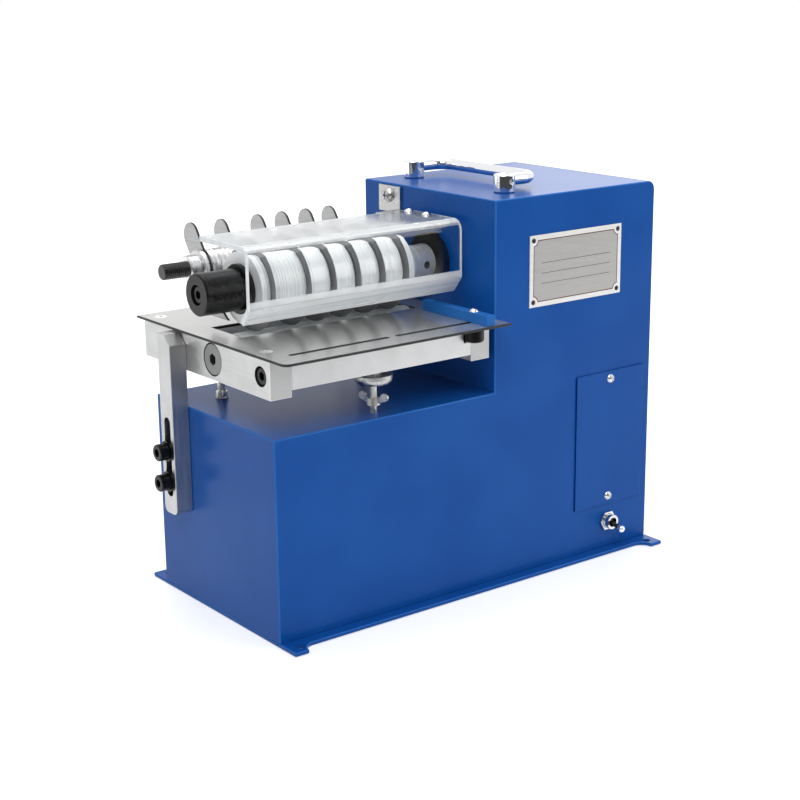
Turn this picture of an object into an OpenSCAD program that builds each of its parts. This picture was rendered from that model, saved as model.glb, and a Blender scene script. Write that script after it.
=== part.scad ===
// Bench strap cutting machine: a motor housing carries a knife roll over a
// height-adjustable feed table. X runs along the shafts, Y to the back, Z up.
// The origin is the centre of the four foot holes, on the underside.

/* [Housing] */
// Length of the housing along the shafts
body_l = 370; // [350:1:420]
// Depth of the housing from front to back
body_d = 164; // [156:1:190]
// Height of the low base
base_h = 156; // [140:1:170]
// Height of the upright above the base
upright_rise = 148; // [144:1:170]
// Length of the low base, left of the upright
base_l = 202; // [200:1:215]
// Thickness of the housing sheet
sheet_t = 2; // [1.5:0.1:3]
// Outer radius of the bend at the upright's top right
bend_r = 7; // [4:0.5:12]
// Width of the flange that the rear cover lies on
flange_w = 14; // [10:1:20]
// Thickness of the rear cover
cover_t = 1.5; // [1:0.1:3]
// How far the rear cover stays inside the housing's outline
cover_inset = 1; // [0.5:0.1:3]

/* [Foot plate] */
// Thickness of the foot plate
foot_plate_t = 3; // [2:0.1:5]
// Width of the lip in front of and behind the walls
lip_w = 10; // [6:1:14]
// Width of a foot tab along the housing
tab_w = 22; // [18:1:30]
// Reach of a foot tab from the wall
tab_out = 20; // [17:1:26]
// Diameter of a foot hole
foot_hole_d = 7; // [5:0.5:9]
// Distance of the foot holes from the end walls
foot_inset = 10; // [8:1:11]
// Distance of the foot holes from the front and back walls
foot_out = 12; // [10:1:14]

/* [Front fittings] */
// Width of the nameplate
nameplate_w = 97; // [60:1:120]
// Height of the nameplate
nameplate_h = 56; // [40:1:70]
// Thickness of the nameplate
nameplate_t = 0.8; // [0.5:0.1:1.5]
// Distance of the nameplate's centre from the right wall
nameplate_from_right = 85.6; // [70:0.1:95]
// Distance of the nameplate's centre below the upright's top
nameplate_drop = 58.5; // [40:0.5:80]
// Width of the access panel
panel_w = 74; // [60:1:80]
// Height of the access panel
panel_h = 113; // [90:1:120]
// Thickness of the access panel
panel_t = 1.5; // [1:0.1:3]
// Distance of the panel's centre from the right wall
panel_from_right = 45.5; // [42:0.5:60]
// Height of the panel's centre
panel_z = 97.5; // [95:0.5:105]
// Height of the switch
switch_z = 26; // [22:0.5:30]
// Diameter of the switch's threaded bush
switch_bush_d = 12; // [11:0.5:14]
// Tilt of the switch lever below level
switch_tilt = 12; // [5:1:14]
// Thread size of the cover and panel screws
trim_screw_d = 4; // [3:0.5:5]

/* [Handle] */
// Distance between the two handle posts
handle_span = 113; // [90:1:120]
// Diameter of a handle post
handle_post_d = 17; // [15:1:20]
// Height of a handle post
handle_post_h = 14; // [13:0.5:18]
// Height of the pivot above the housing
handle_pivot_h = 9; // [8.5:0.5:10]
// Diameter of the bail's bar
handle_bar_d = 9; // [6:0.5:9]
// Reach of the bail from its pivot
handle_reach = 32; // [28:1:40]
// Diameter of the pivot pins
handle_pin_d = 4; // [3:0.5:4.5]
// Distance of the posts from the upright's left wall
handle_from_wall = 34; // [25:1:45]
// How far the handle sits behind the middle of the housing
handle_shift = 4; // [0:0.5:8]

/* [Knife roll] */
// Distance of the roll's axis behind the front wall
roll_setback = 78; // [74:0.5:82]
// Gap between the knives and the anvil roller
knife_gap = 0.4; // [0.3:0.1:2]
// Diameter of a knife
knife_d = 65; // [62:0.5:70]
// Thickness of a knife
knife_t = 1.5; // [1:0.1:2.5]
// Width of the ground bevel on a knife's rim
knife_bevel = 2.5; // [1:0.1:3]
// Number of knives
knife_count = 6; // [4:1:6]
// Distance of the last knife from the upright
last_knife = 47.8; // [44:0.1:52]
// Length of the stack of thin rings left of the first knife
first_stack_l = 7.2; // [5:0.1:12]
// Distance between the first two knives
first_gap = 31; // [26:0.5:34]
// Distance between the other knives
knife_pitch = 22.3; // [18:0.1:24]
// Diameter of the spacers between the knives
spacer_d = 54; // [48:0.5:56]
// Thickness of a thin spacer ring
ring_t = 2.4; // [2:0.1:4]
// Diameter of the shaft
shaft_d = 20; // [18:0.5:22]
// Diameter of the end cap
end_cap_d = 31; // [28:0.5:36]
// Length of the end cap
end_cap_l = 33.5; // [28:0.5:40]
// Diameter of the clamp washer behind the cap
clamp_washer_d = 37; // [34:0.5:44]
// Length of the spacer right of the last knife
last_spacer_l = 10; // [4:0.5:12]
// Diameter of the shaft collar
collar_d = 28; // [27:0.5:40]
// Gap between the shaft collar and the bearing flange
collar_gap = 1; // [0.5:0.5:8]
// Diameter of the bearing flange on the wall
bearing_flange_d = 46; // [42:0.5:54]
// Thickness of the bearing flange
bearing_flange_t = 6; // [4:0.5:8]
// Outer diameter of the ball bearings
bearing_d = 32; // [30:0.5:34]
// Width of the ball bearings
bearing_w = 7; // [6:0.5:9]

/* [Feed table] */
// Height of the table's surface above the base
table_rise = 59; // [56:0.5:66]
// Thickness of the table plate
table_t = 2; // [1.5:0.1:3]
// Overhang of the plate past the left arm
table_left_out = 3.5; // [1:0.5:8]
// Overhang of the plate past the front wall
table_front_out = 22; // [14:0.5:26]
// Distance of the plate's back edge from the front wall
table_back = 184; // [170:1:195]
// Gap between the plate and the upright
table_wall_gap = 2; // [1:0.1:4]
// Radius of the plate's front corner
table_corner_r = 6; // [2:0.5:10]
// Distance of the window from the side arms
window_side = 2; // [1:0.5:4]
// Distance of the window's front edge from the front wall
window_front = 68; // [60:0.5:68.5]
// Distance of the window's back edge from the front wall
window_back = 110; // [104:0.5:112]
// Width of the guide slots
slot_w = 3; // [2:0.1:4]
// Distance of the left guide slot from the plate's left edge
slot_margin = 19.2; // [12:0.1:30]
// Length of the bridge between the guide slots
slot_bridge = 7.5; // [5:0.5:15]
// Length of the right guide slot
slot_right_l = 73; // [60:1:75]
// Distance of the front plate screws from the front wall
plate_screw_front = 20; // [12:0.5:30]
// Distance of the back plate screws from the front wall
plate_screw_back = 168; // [150:0.5:172]
// Thread size of the plate screws
plate_screw_d = 5; // [4:0.5:6]
// Length of the plate screws' thread
plate_screw_l = 6; // [4:0.5:8]

/* [Table frame] */
// Width of the side arms
arm_w = 18; // [16:0.5:19]
// Height of the side arms
arm_h = 29; // [27:0.5:31]
// Distance of the arms' front ends from the front wall
arm_front = 2; // [0:0.5:4]
// Distance of the arms' back ends from the front wall
arm_back = 178; // [160:1:180]
// Gap between the right arm and the upright
arm_wall_gap = 4; // [2:0.5:6]
// Height of the cross rails
rail_h = 24; // [22:0.5:26]
// Width of the cross rails
rail_w = 24; // [20:0.5:25]
// Distance of the rear rail's front face from the front wall
rear_rail_y = 110; // [108:0.5:116]
// Diameter of the anvil roller
anvil_d = 32; // [30:0.1:32]
// How far the roller stands above the table
anvil_proud = 0.6; // [0.2:0.1:0.6]
// Diameter of the roller's axle
axle_d = 12; // [10:0.5:14]
// Diameter of the axle's head
axle_head_d = 23.6; // [18:0.1:24]
// Width of the edge fence
fence_w = 8; // [7:0.5:10]
// Height of the edge fence
fence_h = 8; // [5:0.5:10]
// Distance of the fence's back end from the front wall
fence_back = 58; // [20:1:60]
// Distance of the fence's left side from the upright
fence_from_wall = 25; // [23:0.5:30]
// Diameter of the fence's clamp nut
fence_nut_d = 15.5; // [12:0.5:18]
// Height of the fence's clamp nut
fence_nut_h = 13; // [8:0.5:14]

/* [Height setting] */
// Thickness of the slotted post
post_t = 14; // [10:0.5:18]
// Width of the slotted post
post_w = 18; // [16:0.5:22]
// Distance of the post from the front wall
post_y = 116; // [112:0.5:122]
// Reach of the post below the base's top
post_reach = 84; // [78:0.5:100]
// Radius of the post's lower corners
post_corner_r = 5; // [2:0.5:8]
// Length of the post's slot
post_slot_l = 62; // [54:0.5:66]
// Distance of the slot's upper end below the base's top
post_slot_drop = 8; // [4:0.5:14]
// Thread size of the post's bolts
post_bolt_d = 8; // [6:0.5:8]
// Distance between the post's bolts
post_bolt_pitch = 24; // [20:0.5:28]
// Distance of the upper bolt below the base's top
post_bolt_drop = 34; // [28:0.5:38]
// Thread size of the jack screws
jack_d = 5; // [4:0.5:6]
// Distance of the front jack from the left wall
front_jack_x = 97; // [60:1:140]
// Distance of the rear jacks from the arms
rear_jack_inset = 15; // [14:0.5:30]
// Height of the front wing nut above the base
front_wing_lift = 6.5; // [6:0.1:8]
// Diameter of the lock pad under the front rail
lock_pad_d = 28.5; // [20:0.5:32]
// Thickness of the lock pad
lock_pad_t = 7.5; // [5:0.5:8]
// Thickness of the lock nut above the pad
lock_nut_t = 3; // [2:0.1:4]

/* [Guard] */
// Thickness of the clear guard
guard_t = 4; // [3:0.1:4.5]
// Distance of the guard's front face from the front wall
guard_front = 32; // [26:0.5:36]
// Distance of the guard's back edge from the front wall
guard_back = 97; // [94:0.5:100]
// Clearance between the knives and the guard's top
guard_clear = 2; // [1:0.5:6]
// Length of the guard
guard_l = 192; // [180:1:196]
// Gap between the guard and the upright
guard_wall_gap = 6; // [4:0.5:10]
// Radius of the guard's upper bend
guard_r = 9; // [6:0.5:12]
// Distance of the bend above the lower lip below the roll's axis
guard_lip_drop = 5.5; // [2:0.5:10]
// Length of the lower lip
guard_lip_l = 15; // [10:0.5:18]
// Inward slant of the lower lip
guard_lip_tilt = 38; // [10:1:42]
// Thickness of the guard's bracket
bracket_t = 2; // [1.5:0.1:3]
// Width of the bracket's leg on the upright
bracket_w = 28; // [20:0.5:34]
// Width of the bracket's foot under the guard
bracket_foot_w = 20; // [16:0.5:26]
// Length of the bracket's foot under the guard
bracket_foot_l = 64; // [56:0.5:70]
// Overlap of the bracket's foot with its leg
bracket_foot_lap = 8; // [4:0.5:20]
// Distance of the bracket's back edge from the front wall
bracket_back = 143; // [135:0.5:150]
// Distance of the bracket's upper edge below the upright's top
bracket_drop = 2; // [1:0.5:4]
// Thread size of the bracket's bolt
bracket_bolt_d = 6; // [5:0.5:8]
// Thread size of the guard screws
guard_screw_d = 4; // [3:0.5:5]
// Distance of the first guard screw from the guard's back edge
guard_screw_inset = 8; // [5:0.5:12]
// Distance between the guard screws
guard_screw_pitch = 22; // [14:0.5:26]

/* [Strippers] */
// Distance of the stripper rod behind the front wall
rod_y = 126; // [125:0.5:130]
// Height of the stripper rod above the roll's axis
rod_rise = 9.5; // [2:0.5:12]
// Diameter of the stripper rod
rod_d = 12; // [10:0.5:13]
// Shift of the fingers after the second from the middle of their gap towards the right
finger_shift = 6; // [0:0.5:6.5]
// Length of the rod's free thread, left of the clamp nut
rod_thread_l = 20; // [14:0.5:30]
// Diameter of the rod's spacers
rod_spacer_d = 26; // [22:0.5:27]
// Diameter of the rod's clamp nut
rod_nut_d = 20; // [18:0.5:26]
// Length of the short tube between the clamp nut and the first finger
first_tube_l = 4; // [2:0.5:8]
// Thickness of the clamp nut
rod_nut_t = 10; // [6:0.5:11]
// Width of a stripper finger
finger_w = 20; // [16:0.5:24]
// Thickness of a stripper finger
finger_t = 2; // [1:0.1:3]
// Reach of a finger above the rod
finger_up = 36; // [28:0.5:40]
// Slope of the fingers above level
finger_tilt = 56; // [50:1:62]
// Distance of the first finger left of the first knife
first_finger = 11; // [10:0.5:11]
// Clear height under the fingers
finger_clear = 8; // [6:0.5:12]

/* [Drive] */
// Height of the motor's axis
motor_h = 64; // [60:0.5:70]
// Diameter of the motor
motor_d = 58; // [50:1:64]
// Length of the motor
motor_l = 95; // [70:1:110]
// Diameter of the reduction gearbox
gearbox_d = 66; // [60:1:72]
// Length of the reduction gearbox
gearbox_l = 40; // [30:1:50]
// Diameter of the motor's output shaft
motor_shaft_d = 12; // [10:0.5:14]
// Distance of the bearing plate from the left wall
bearing_plate_x = 296; // [290:1:300]
// Thickness of the bearing plate
bearing_plate_t = 6; // [5:0.5:8]
// Pitch diameter of the shaft pulley
shaft_pulley_d = 90; // [80:1:92]
// Pitch diameter of the motor pulley
motor_pulley_d = 40; // [36:1:44]
// Width of the belt
belt_w = 14; // [10:0.5:16]
// Thickness of the belt
belt_t = 3; // [2:0.1:4]

/* [Hidden] */
$fn = 64;

// Running clearance on a turning fit, and the gap between pieces that slide
fit_gap = 0.05;
slide_gap = 0.2;
// Clearance around a screw's shank
hole_gap = 0.2;

// Outer faces of the housing
x_left = -body_l / 2;
x_right = body_l / 2;
x_wall = x_left + base_l;
upright_l = body_l - base_l;
upright_h = base_h + upright_rise;
y_front = -body_d / 2;
y_back = body_d / 2;

// Heights of the table and of the axes of the anvil roller and the knife roll
table_h = base_h + table_rise;
anvil_z = table_h + anvil_proud - anvil_d / 2;
roll_y = y_front + roll_setback;
roll_h = table_h + anvil_proud + knife_gap + knife_d / 2;
frame_top = table_h - table_t;
rail_z = frame_top - rail_h;
arm_z = frame_top - arm_h;

// Side arms and cross rails of the table
arm_x = x_left - slide_gap;
right_arm_x = x_wall - arm_wall_gap - arm_w;
arm_y = y_front + arm_front;
rail_l = right_arm_x - arm_x - arm_w;
front_rail_y = arm_y;
rear_rail_front = y_front + rear_rail_y;
frame_screw_d = 8;
frame_screw_head_d = 13;
frame_screw_head_h = 8;
counterbore_d = 15;
counterbore_deep = 9;
frame_screw_l = 20;

// Knives, and the faces between which the spacers sit
function knife_x(i) = x_wall - last_knife - (knife_count - 1 - i) * knife_pitch
    - (i == 0 ? first_gap - knife_pitch : 0);
shaft_bore_d = shaft_d + 2 * fit_gap;
washer_t = 4;
stack_x = knife_x(0) - knife_t / 2 - first_stack_l;
washer_x = stack_x - washer_t;
end_cap_x = washer_x - end_cap_l;
collar_x = knife_x(knife_count - 1) + knife_t / 2 + last_spacer_l;
collar_l = x_wall - bearing_flange_t - collar_gap - collar_x;
collar_screw_x = collar_x + collar_l * 0.7;
spigot_d = 16;
spigot_l = 10;
end_screw_d = 8;
end_screw_head_d = 13;
end_screw_head_h = 8;
end_screw_recess = 1.5;

// Shaft bearings, pulleys and belt
boss_d = bearing_d + 6;
boss_l = 12;
plate_x = x_left + bearing_plate_x;
pulley_x = plate_x + bearing_plate_t + 14;
pulley_rim = 2;
pulley_w = belt_w + 2 * pulley_rim + 2;
pulley_flange = 4;
belt_gap = 0.4;
shaft_end = pulley_x + pulley_w + 4;

// Stripper fingers sit between the knives
function finger_x(i) = i == 0
    ? knife_x(0) - first_finger
    : (knife_x(i - 1) + knife_x(i)) / 2 + (i > 1 ? finger_shift : 0);
rod_axis_y = y_front + rod_y;
rod_z = roll_h + rod_rise;
rod_nut_x = finger_x(0) - finger_t / 2 - first_tube_l - rod_nut_t;
rod_x = rod_nut_x - rod_thread_l;

// Fence and its clamp
fence_x = x_wall - fence_from_wall;
fence_screw_x = fence_x + fence_w / 2;
fence_screw_y = y_front;
fence_screw_d = 5;

// Handle, switch and jacks
handle_x = x_wall + handle_from_wall;
handle_y = handle_shift;
handle_z = upright_h + handle_pivot_h;
switch_x = x_right - panel_from_right;
switch_pivot_out = 3;
front_jack = [x_left + front_jack_x, front_rail_y + rail_w / 2];
left_jack = [arm_x + arm_w + rear_jack_inset, rear_rail_front + rail_w / 2];
right_jack = [right_arm_x - rear_jack_inset, rear_rail_front + rail_w / 2];
jack_hole_deep = 20;
jack_thread_in = 13;

// Post and its bolts
post_inner_x = arm_x;
post_mid_y = y_front + post_y + post_w / 2;
post_bottom = base_h - post_reach;
post_bolt_z = base_h - post_bolt_drop;

// Turns a shape from the Z axis to the X axis at a point
module along_x(x, y, z) {
    translate([x, y, z]) rotate([0, 90, 0]) children();
}

// Turns a shape from the Z axis to point out of the front wall
module out_front(x, y, z) {
    translate([x, y, z]) rotate([90, 0, 0]) children();
}

// Turns a shape from the Z axis to point out of the back wall
module out_back(x, y, z) {
    translate([x, y, z]) rotate([-90, 0, 0]) children();
}

// Extrudes an outline drawn in Y and Z along X
module sheet_x(x, t) {
    translate([x, 0, 0]) rotate([90, 0, 90]) linear_extrude(t) children();
}

// Extrudes an outline drawn in X and Z along Y
module sheet_y(y, t) {
    translate([0, y + t, 0]) rotate([90, 0, 0]) linear_extrude(t) children();
}

// Round disc with a bore
module ring(d, bore, l) {
    difference() {
        cylinder(d = d, h = l);
        translate([0, 0, -1]) cylinder(d = bore, h = l + 2);
    }
}

// Ring whose rims are chamfered
module edged_ring(d, bore, l, c) {
    rotate_extrude() polygon([
        [bore / 2, 0], [d / 2 - c, 0], [d / 2, c], [d / 2, l - c], [d / 2 - c, l], [bore / 2, l]
    ]);
}

// Low domed head
module dome_head(d, h) {
    dome_r = (d * d / 4 + h * h) / (2 * h);
    intersection() {
        cylinder(d = d, h = h);
        translate([0, 0, h - dome_r]) sphere(r = dome_r);
    }
}

// Cross-slotted screw with a domed head above Z = 0
module dome_screw(d, head_d, head_h, l) {
    slot = d / 5;
    difference() {
        union() {
            dome_head(head_d, head_h);
            translate([0, 0, -l]) cylinder(d = d, h = l);
        }
        for (turn = [0, 90]) {
            rotate(turn) translate([-head_d * 0.3, -slot / 2, head_h * 0.45]) {
                cube([head_d * 0.6, slot, head_h]);
            }
        }
    }
}

// Socket-head screw whose head stands above Z = 0
module socket_screw(d, head_d, head_h, l) {
    key = d * 0.75;
    difference() {
        union() {
            edged_ring(head_d, 0, head_h, head_h / 12);
            translate([0, 0, -l]) cylinder(d = d, h = l);
        }
        translate([0, 0, head_h / 2]) cylinder(d = key / cos(30), h = head_h, $fn = 6);
    }
}

// Hexagonal nut
module hex_nut(across, bore, t) {
    difference() {
        cylinder(d = across / cos(30), h = t, $fn = 6);
        translate([0, 0, -1]) cylinder(d = bore, h = t + 2);
    }
}

// Slot with round ends, its middle at the origin and its length along X
module slot_2d(l, w) {
    square([l - w, w], center = true);
    for (side = [-1, 1]) {
        translate([side * (l - w) / 2, 0]) circle(d = w);
    }
}

// Outline of the housing seen from the front, moved inwards by a margin
module housing_2d(inset) {
    r = max(bend_r - inset, 0.5);
    base_top = base_h - inset - foot_plate_t;
    upright_top = upright_h - inset - foot_plate_t;
    translate([x_left + inset, foot_plate_t]) square([base_l + r, base_top]);
    translate([x_wall + inset, foot_plate_t]) {
        square([upright_l - 2 * inset, upright_top - r]);
        square([upright_l - 2 * inset - r, upright_top]);
        translate([upright_l - 2 * inset - r, upright_top - r]) circle(r);
    }
}

// Places of the screws round the rear cover
cover_edge = sheet_t + flange_w / 2;
cover_screw_places = [
    [x_left + cover_edge, foot_plate_t + cover_edge], [x_left + cover_edge, base_h - cover_edge],
    [(x_left + x_wall) / 2, base_h - cover_edge], [x_wall + cover_edge, base_h + cover_edge * 3],
    [x_wall + cover_edge, upright_h - cover_edge], [x_right - cover_edge, upright_h - cover_edge],
    [x_right - cover_edge, base_h], [x_right - cover_edge, foot_plate_t + cover_edge]
];
panel_screw_z = panel_h / 2 - 6.5;

module foot_plate() {
    color("royalblue") difference() {
        linear_extrude(foot_plate_t) {
            square([body_l, body_d + 2 * lip_w], center = true);
            for (sx = [-1, 1], sy = [-1, 1]) {
                translate([sx * (x_right - tab_w / 2), sy * (y_back + tab_out / 2)]) {
                    difference() {
                        square([tab_w, tab_out], center = true);
                        translate([-sx * tab_w / 2, sy * tab_out / 2]) circle(r = tab_out - lip_w);
                    }
                }
            }
        }
        for (sx = [-1, 1], sy = [-1, 1]) {
            translate([sx * (x_right - foot_inset), sy * (y_back + foot_out), -1]) {
                cylinder(d = foot_hole_d, h = foot_plate_t + 2);
            }
        }
    }
}

module body_shell() {
    color("royalblue") difference() {
        sheet_y(y_front, body_d) housing_2d(0);
        sheet_y(y_front + sheet_t, body_d - 2 * sheet_t) {
            housing_2d(sheet_t);
            translate([x_left + sheet_t, 0]) square([body_l - 2 * sheet_t, base_h / 2]);
        }
        sheet_y(y_back - 2 * sheet_t, 3 * sheet_t) difference() {
            housing_2d(sheet_t + flange_w);
            translate([x_left, 0]) square([body_l, foot_plate_t + sheet_t + flange_w]);
        }
        along_x(x_wall - 1, roll_y, roll_h) cylinder(d = boss_d + hole_gap, h = sheet_t + 2);
        along_x(x_wall - 1, rod_axis_y, rod_z) cylinder(d = rod_d + hole_gap, h = sheet_t + 2);
        along_x(x_wall - 1, bracket_bolt_y, bracket_bolt_z) {
            cylinder(d = bracket_bolt_d + hole_gap, h = sheet_t + 2);
        }
        for (i = [0, 1]) {
            along_x(x_left - 1, post_mid_y, post_bolt_z - i * post_bolt_pitch) {
                cylinder(d = post_bolt_d + hole_gap, h = sheet_t + 2);
            }
        }
        out_front(switch_x, y_front + sheet_t + 1, switch_z) {
            cylinder(d = switch_bush_d + hole_gap, h = sheet_t + 2);
        }
        out_front(switch_x, y_front + sheet_t + 1, panel_z) {
            linear_extrude(sheet_t + 2) square([panel_w - 24, panel_h - 34], center = true);
        }
        for (side = [-1, 1]) {
            out_front(switch_x, y_front + sheet_t + 1, panel_z + side * panel_screw_z) {
                cylinder(d = trim_screw_d + hole_gap, h = sheet_t + 2);
            }
            translate([handle_x, handle_y + side * handle_span / 2, upright_h - sheet_t - 1]) {
                cylinder(d = handle_stud_d + hole_gap, h = sheet_t + 2);
            }
        }
        for (p = cover_screw_places) {
            out_back(p[0], y_back - sheet_t - 1, p[1]) {
                cylinder(d = trim_screw_d + hole_gap, h = sheet_t + 2);
            }
        }
    }
}

module rear_cover() {
    color("royalblue") difference() {
        sheet_y(y_back, cover_t) difference() {
            housing_2d(cover_inset);
            translate([x_left, 0]) square([body_l, foot_plate_t + cover_inset]);
        }
        for (p = cover_screw_places) {
            out_back(p[0], y_back - 1, p[1]) cylinder(d = trim_screw_d + hole_gap, h = cover_t + 2);
        }
    }
}

module rear_cover_screws() {
    color("silver") for (p = cover_screw_places) {
        out_back(p[0], y_back + cover_t, p[1]) {
            dome_screw(trim_screw_d, trim_screw_d * 1.9, trim_screw_d * 0.6, cover_t + sheet_t + 3);
        }
    }
}

module access_panel() {
    color("royalblue") difference() {
        out_front(switch_x, y_front, panel_z) linear_extrude(panel_t) {
            square([panel_w, panel_h], center = true);
        }
        for (side = [-1, 1]) {
            out_front(switch_x, y_front + 1, panel_z + side * panel_screw_z) {
                cylinder(d = trim_screw_d + hole_gap, h = panel_t + 2);
            }
        }
    }
}

module panel_screws() {
    color("silver") for (side = [-1, 1]) {
        out_front(switch_x, y_front - panel_t, panel_z + side * panel_screw_z) {
            dome_screw(trim_screw_d, trim_screw_d * 1.9, trim_screw_d * 0.6, panel_t + sheet_t + 3);
        }
    }
}

nameplate_x = x_right - nameplate_from_right;
nameplate_z = upright_h - nameplate_drop;
rivet_d = 2.4;
rivet_inset = 4;
rivet_head_d = 4;
rivet_head_h = 1;

module nameplate() {
    color("gainsboro") difference() {
        out_front(nameplate_x, y_front, nameplate_z) {
            linear_extrude(nameplate_t) square([nameplate_w, nameplate_h], center = true);
        }
        for (sx = [-1, 1], sz = [-1, 1]) {
            out_front(nameplate_x + sx * (nameplate_w / 2 - rivet_inset), y_front + 1,
                nameplate_z + sz * (nameplate_h / 2 - rivet_inset)) {
                cylinder(d = rivet_d + 2 * fit_gap, h = nameplate_t + 2);
            }
        }
    }
}

module nameplate_rivets() {
    color("silver") for (sx = [-1, 1], sz = [-1, 1]) {
        out_front(nameplate_x + sx * (nameplate_w / 2 - rivet_inset), y_front - nameplate_t,
            nameplate_z + sz * (nameplate_h / 2 - rivet_inset)) {
            dome_head(rivet_head_d, rivet_head_h);
            translate([0, 0, -nameplate_t]) cylinder(d = rivet_d, h = nameplate_t);
        }
    }
}

handle_stud_d = 5;
handle_stud_l = 6;
handle_slot_gap = 0.3;
handle_slot_w = handle_bar_d + 2 * handle_slot_gap;

module handle_posts() {
    color("silver") for (side = [-1, 1]) {
        translate([handle_x, handle_y + side * handle_span / 2, upright_h]) difference() {
            union() {
                edged_ring(handle_post_d, 0, handle_post_h, 0.8);
                translate([0, 0, -handle_stud_l]) cylinder(d = handle_stud_d, h = handle_stud_l);
            }
            translate([-handle_slot_w / 2, -handle_slot_w / 2, handle_pivot_h - handle_slot_w / 2]) {
                cube([handle_post_d, handle_slot_w, handle_post_h]);
            }
            translate([0, handle_post_d, handle_pivot_h]) rotate([90, 0, 0]) {
                cylinder(d = handle_pin_d, h = 2 * handle_post_d);
            }
        }
    }
}

module handle_pins() {
    pin_l = handle_post_d * 0.86;
    color("silver") for (side = [-1, 1]) {
        translate([handle_x, handle_y + side * handle_span / 2 + pin_l / 2, handle_z]) rotate([90, 0, 0]) {
            cylinder(d = handle_pin_d - 2 * fit_gap, h = pin_l);
        }
    }
}

module handle_bail() {
    corner_r = 14;
    leg_l = handle_reach - corner_r;
    bar_l = handle_span - 2 * corner_r;
    color("silver") difference() {
        translate([handle_x, handle_y, handle_z]) {
            for (side = [-1, 1]) {
                translate([0, side * handle_span / 2, 0]) {
                    translate([0, handle_bar_d / 2, 0]) rotate([90, 0, 0]) {
                        cylinder(d = handle_bar_d, h = handle_bar_d);
                    }
                    rotate([0, 90, 0]) cylinder(d = handle_bar_d, h = leg_l);
                }
                translate([leg_l, side * bar_l / 2, 0]) rotate(side > 0 ? 0 : -90) {
                    rotate_extrude(angle = 90) translate([corner_r, 0]) circle(d = handle_bar_d);
                }
            }
            translate([handle_reach, bar_l / 2, 0]) rotate([90, 0, 0]) {
                cylinder(d = handle_bar_d, h = bar_l);
            }
        }
        translate([handle_x, handle_y + handle_span, handle_z]) rotate([90, 0, 0]) {
            cylinder(d = handle_pin_d, h = 2 * handle_span);
        }
    }
}

switch_nut_t = 3;
switch_bush_out = 8;
switch_box = [15, 26, 18];
lever_d = 3.4;
lever_tip_d = 6;
lever_barrel_d = 7.4;
lever_barrel_w = 2.6;
lever_barrel_gap = 0.3;
lever_l = 15;

module switch_body() {
    color("dimgray") difference() {
        union() {
            translate([switch_x - switch_box[0] / 2, y_front + sheet_t, switch_z - switch_box[2] / 2]) {
                cube(switch_box);
            }
            out_front(switch_x, y_front + sheet_t + 1, switch_z) {
                cylinder(d = switch_bush_d, h = sheet_t + 1 + switch_bush_out);
            }
        }
        out_front(switch_x, y_front + sheet_t, switch_z) {
            cylinder(d = lever_barrel_d + 2 * lever_barrel_gap, h = sheet_t + switch_bush_out + 1);
        }
    }
}

module switch_nut() {
    color("silver") out_front(switch_x, y_front, switch_z) {
        hex_nut(switch_bush_d + 3, switch_bush_d + 2 * fit_gap, switch_nut_t);
    }
}

module switch_lever() {
    color("silver") out_front(switch_x, y_front - switch_pivot_out, switch_z) rotate([switch_tilt, 0, 0]) {
        rotate([0, 90, 0]) cylinder(d = lever_barrel_d, h = lever_barrel_w, center = true);
        cylinder(d1 = lever_d, d2 = lever_d * 1.2, h = lever_l);
        translate([0, 0, lever_l]) sphere(d = lever_tip_d);
    }
}

module bearing_flange() {
    color("dimgray") along_x(x_wall - bearing_flange_t, roll_y, roll_h) difference() {
        union() {
            edged_ring(bearing_flange_d, 0, bearing_flange_t, 0.8);
            cylinder(d = boss_d, h = bearing_flange_t + boss_l);
        }
        translate([0, 0, -1]) cylinder(d = shaft_d + 2, h = bearing_flange_t + boss_l + 2);
        translate([0, 0, bearing_flange_t + boss_l - bearing_w]) {
            cylinder(d = bearing_d + 2 * fit_gap, h = bearing_w + 1);
        }
    }
}

module shaft_bearings() {
    color("silver") for (x = [x_wall + boss_l - bearing_w, plate_x + (bearing_plate_t - bearing_w) / 2]) {
        along_x(x, roll_y, roll_h) difference() {
            edged_ring(bearing_d, shaft_bore_d, bearing_w, 0.5);
            for (z = [-1, bearing_w - 0.6]) {
                translate([0, 0, z]) ring(bearing_d - 4, shaft_d + 4, 1.6);
            }
        }
    }
}

motor_boss_d = 24;
motor_screw_d = 5;
motor_screw_pcd = 46;

module bearing_plate() {
    margin = 20;
    foot_w = 30;
    top = roll_h + bearing_d / 2 + 14;
    color("gray") difference() {
        union() {
            translate([plate_x, y_front + margin, foot_plate_t]) {
                cube([bearing_plate_t, body_d - 2 * margin, top - foot_plate_t]);
            }
            translate([plate_x - foot_w, y_front + margin, foot_plate_t]) {
                cube([foot_w, body_d - 2 * margin, bearing_plate_t]);
            }
        }
        along_x(plate_x - 1, roll_y, roll_h) cylinder(d = bearing_d + 2 * fit_gap, h = bearing_plate_t + 2);
        along_x(plate_x - 1, roll_y, motor_h) {
            cylinder(d = motor_boss_d + hole_gap, h = bearing_plate_t + 2);
            for (i = [0:3]) {
                rotate(i * 90 + 45) translate([motor_screw_pcd / 2, 0, 0]) {
                    cylinder(d = motor_screw_d + hole_gap, h = bearing_plate_t + 2);
                }
            }
        }
    }
}

shaft_left = washer_x - spigot_l;

module knife_shaft() {
    tapped_l = 16;
    color("silver") difference() {
        union() {
            along_x(shaft_left, roll_y, roll_h) cylinder(d = spigot_d, h = spigot_l + 1);
            along_x(washer_x, roll_y, roll_h) cylinder(d = shaft_d, h = shaft_end - washer_x);
        }
        along_x(shaft_left - 1, roll_y, roll_h) cylinder(d = end_screw_d + 2 * fit_gap, h = tapped_l + 1);
    }
}

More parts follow.
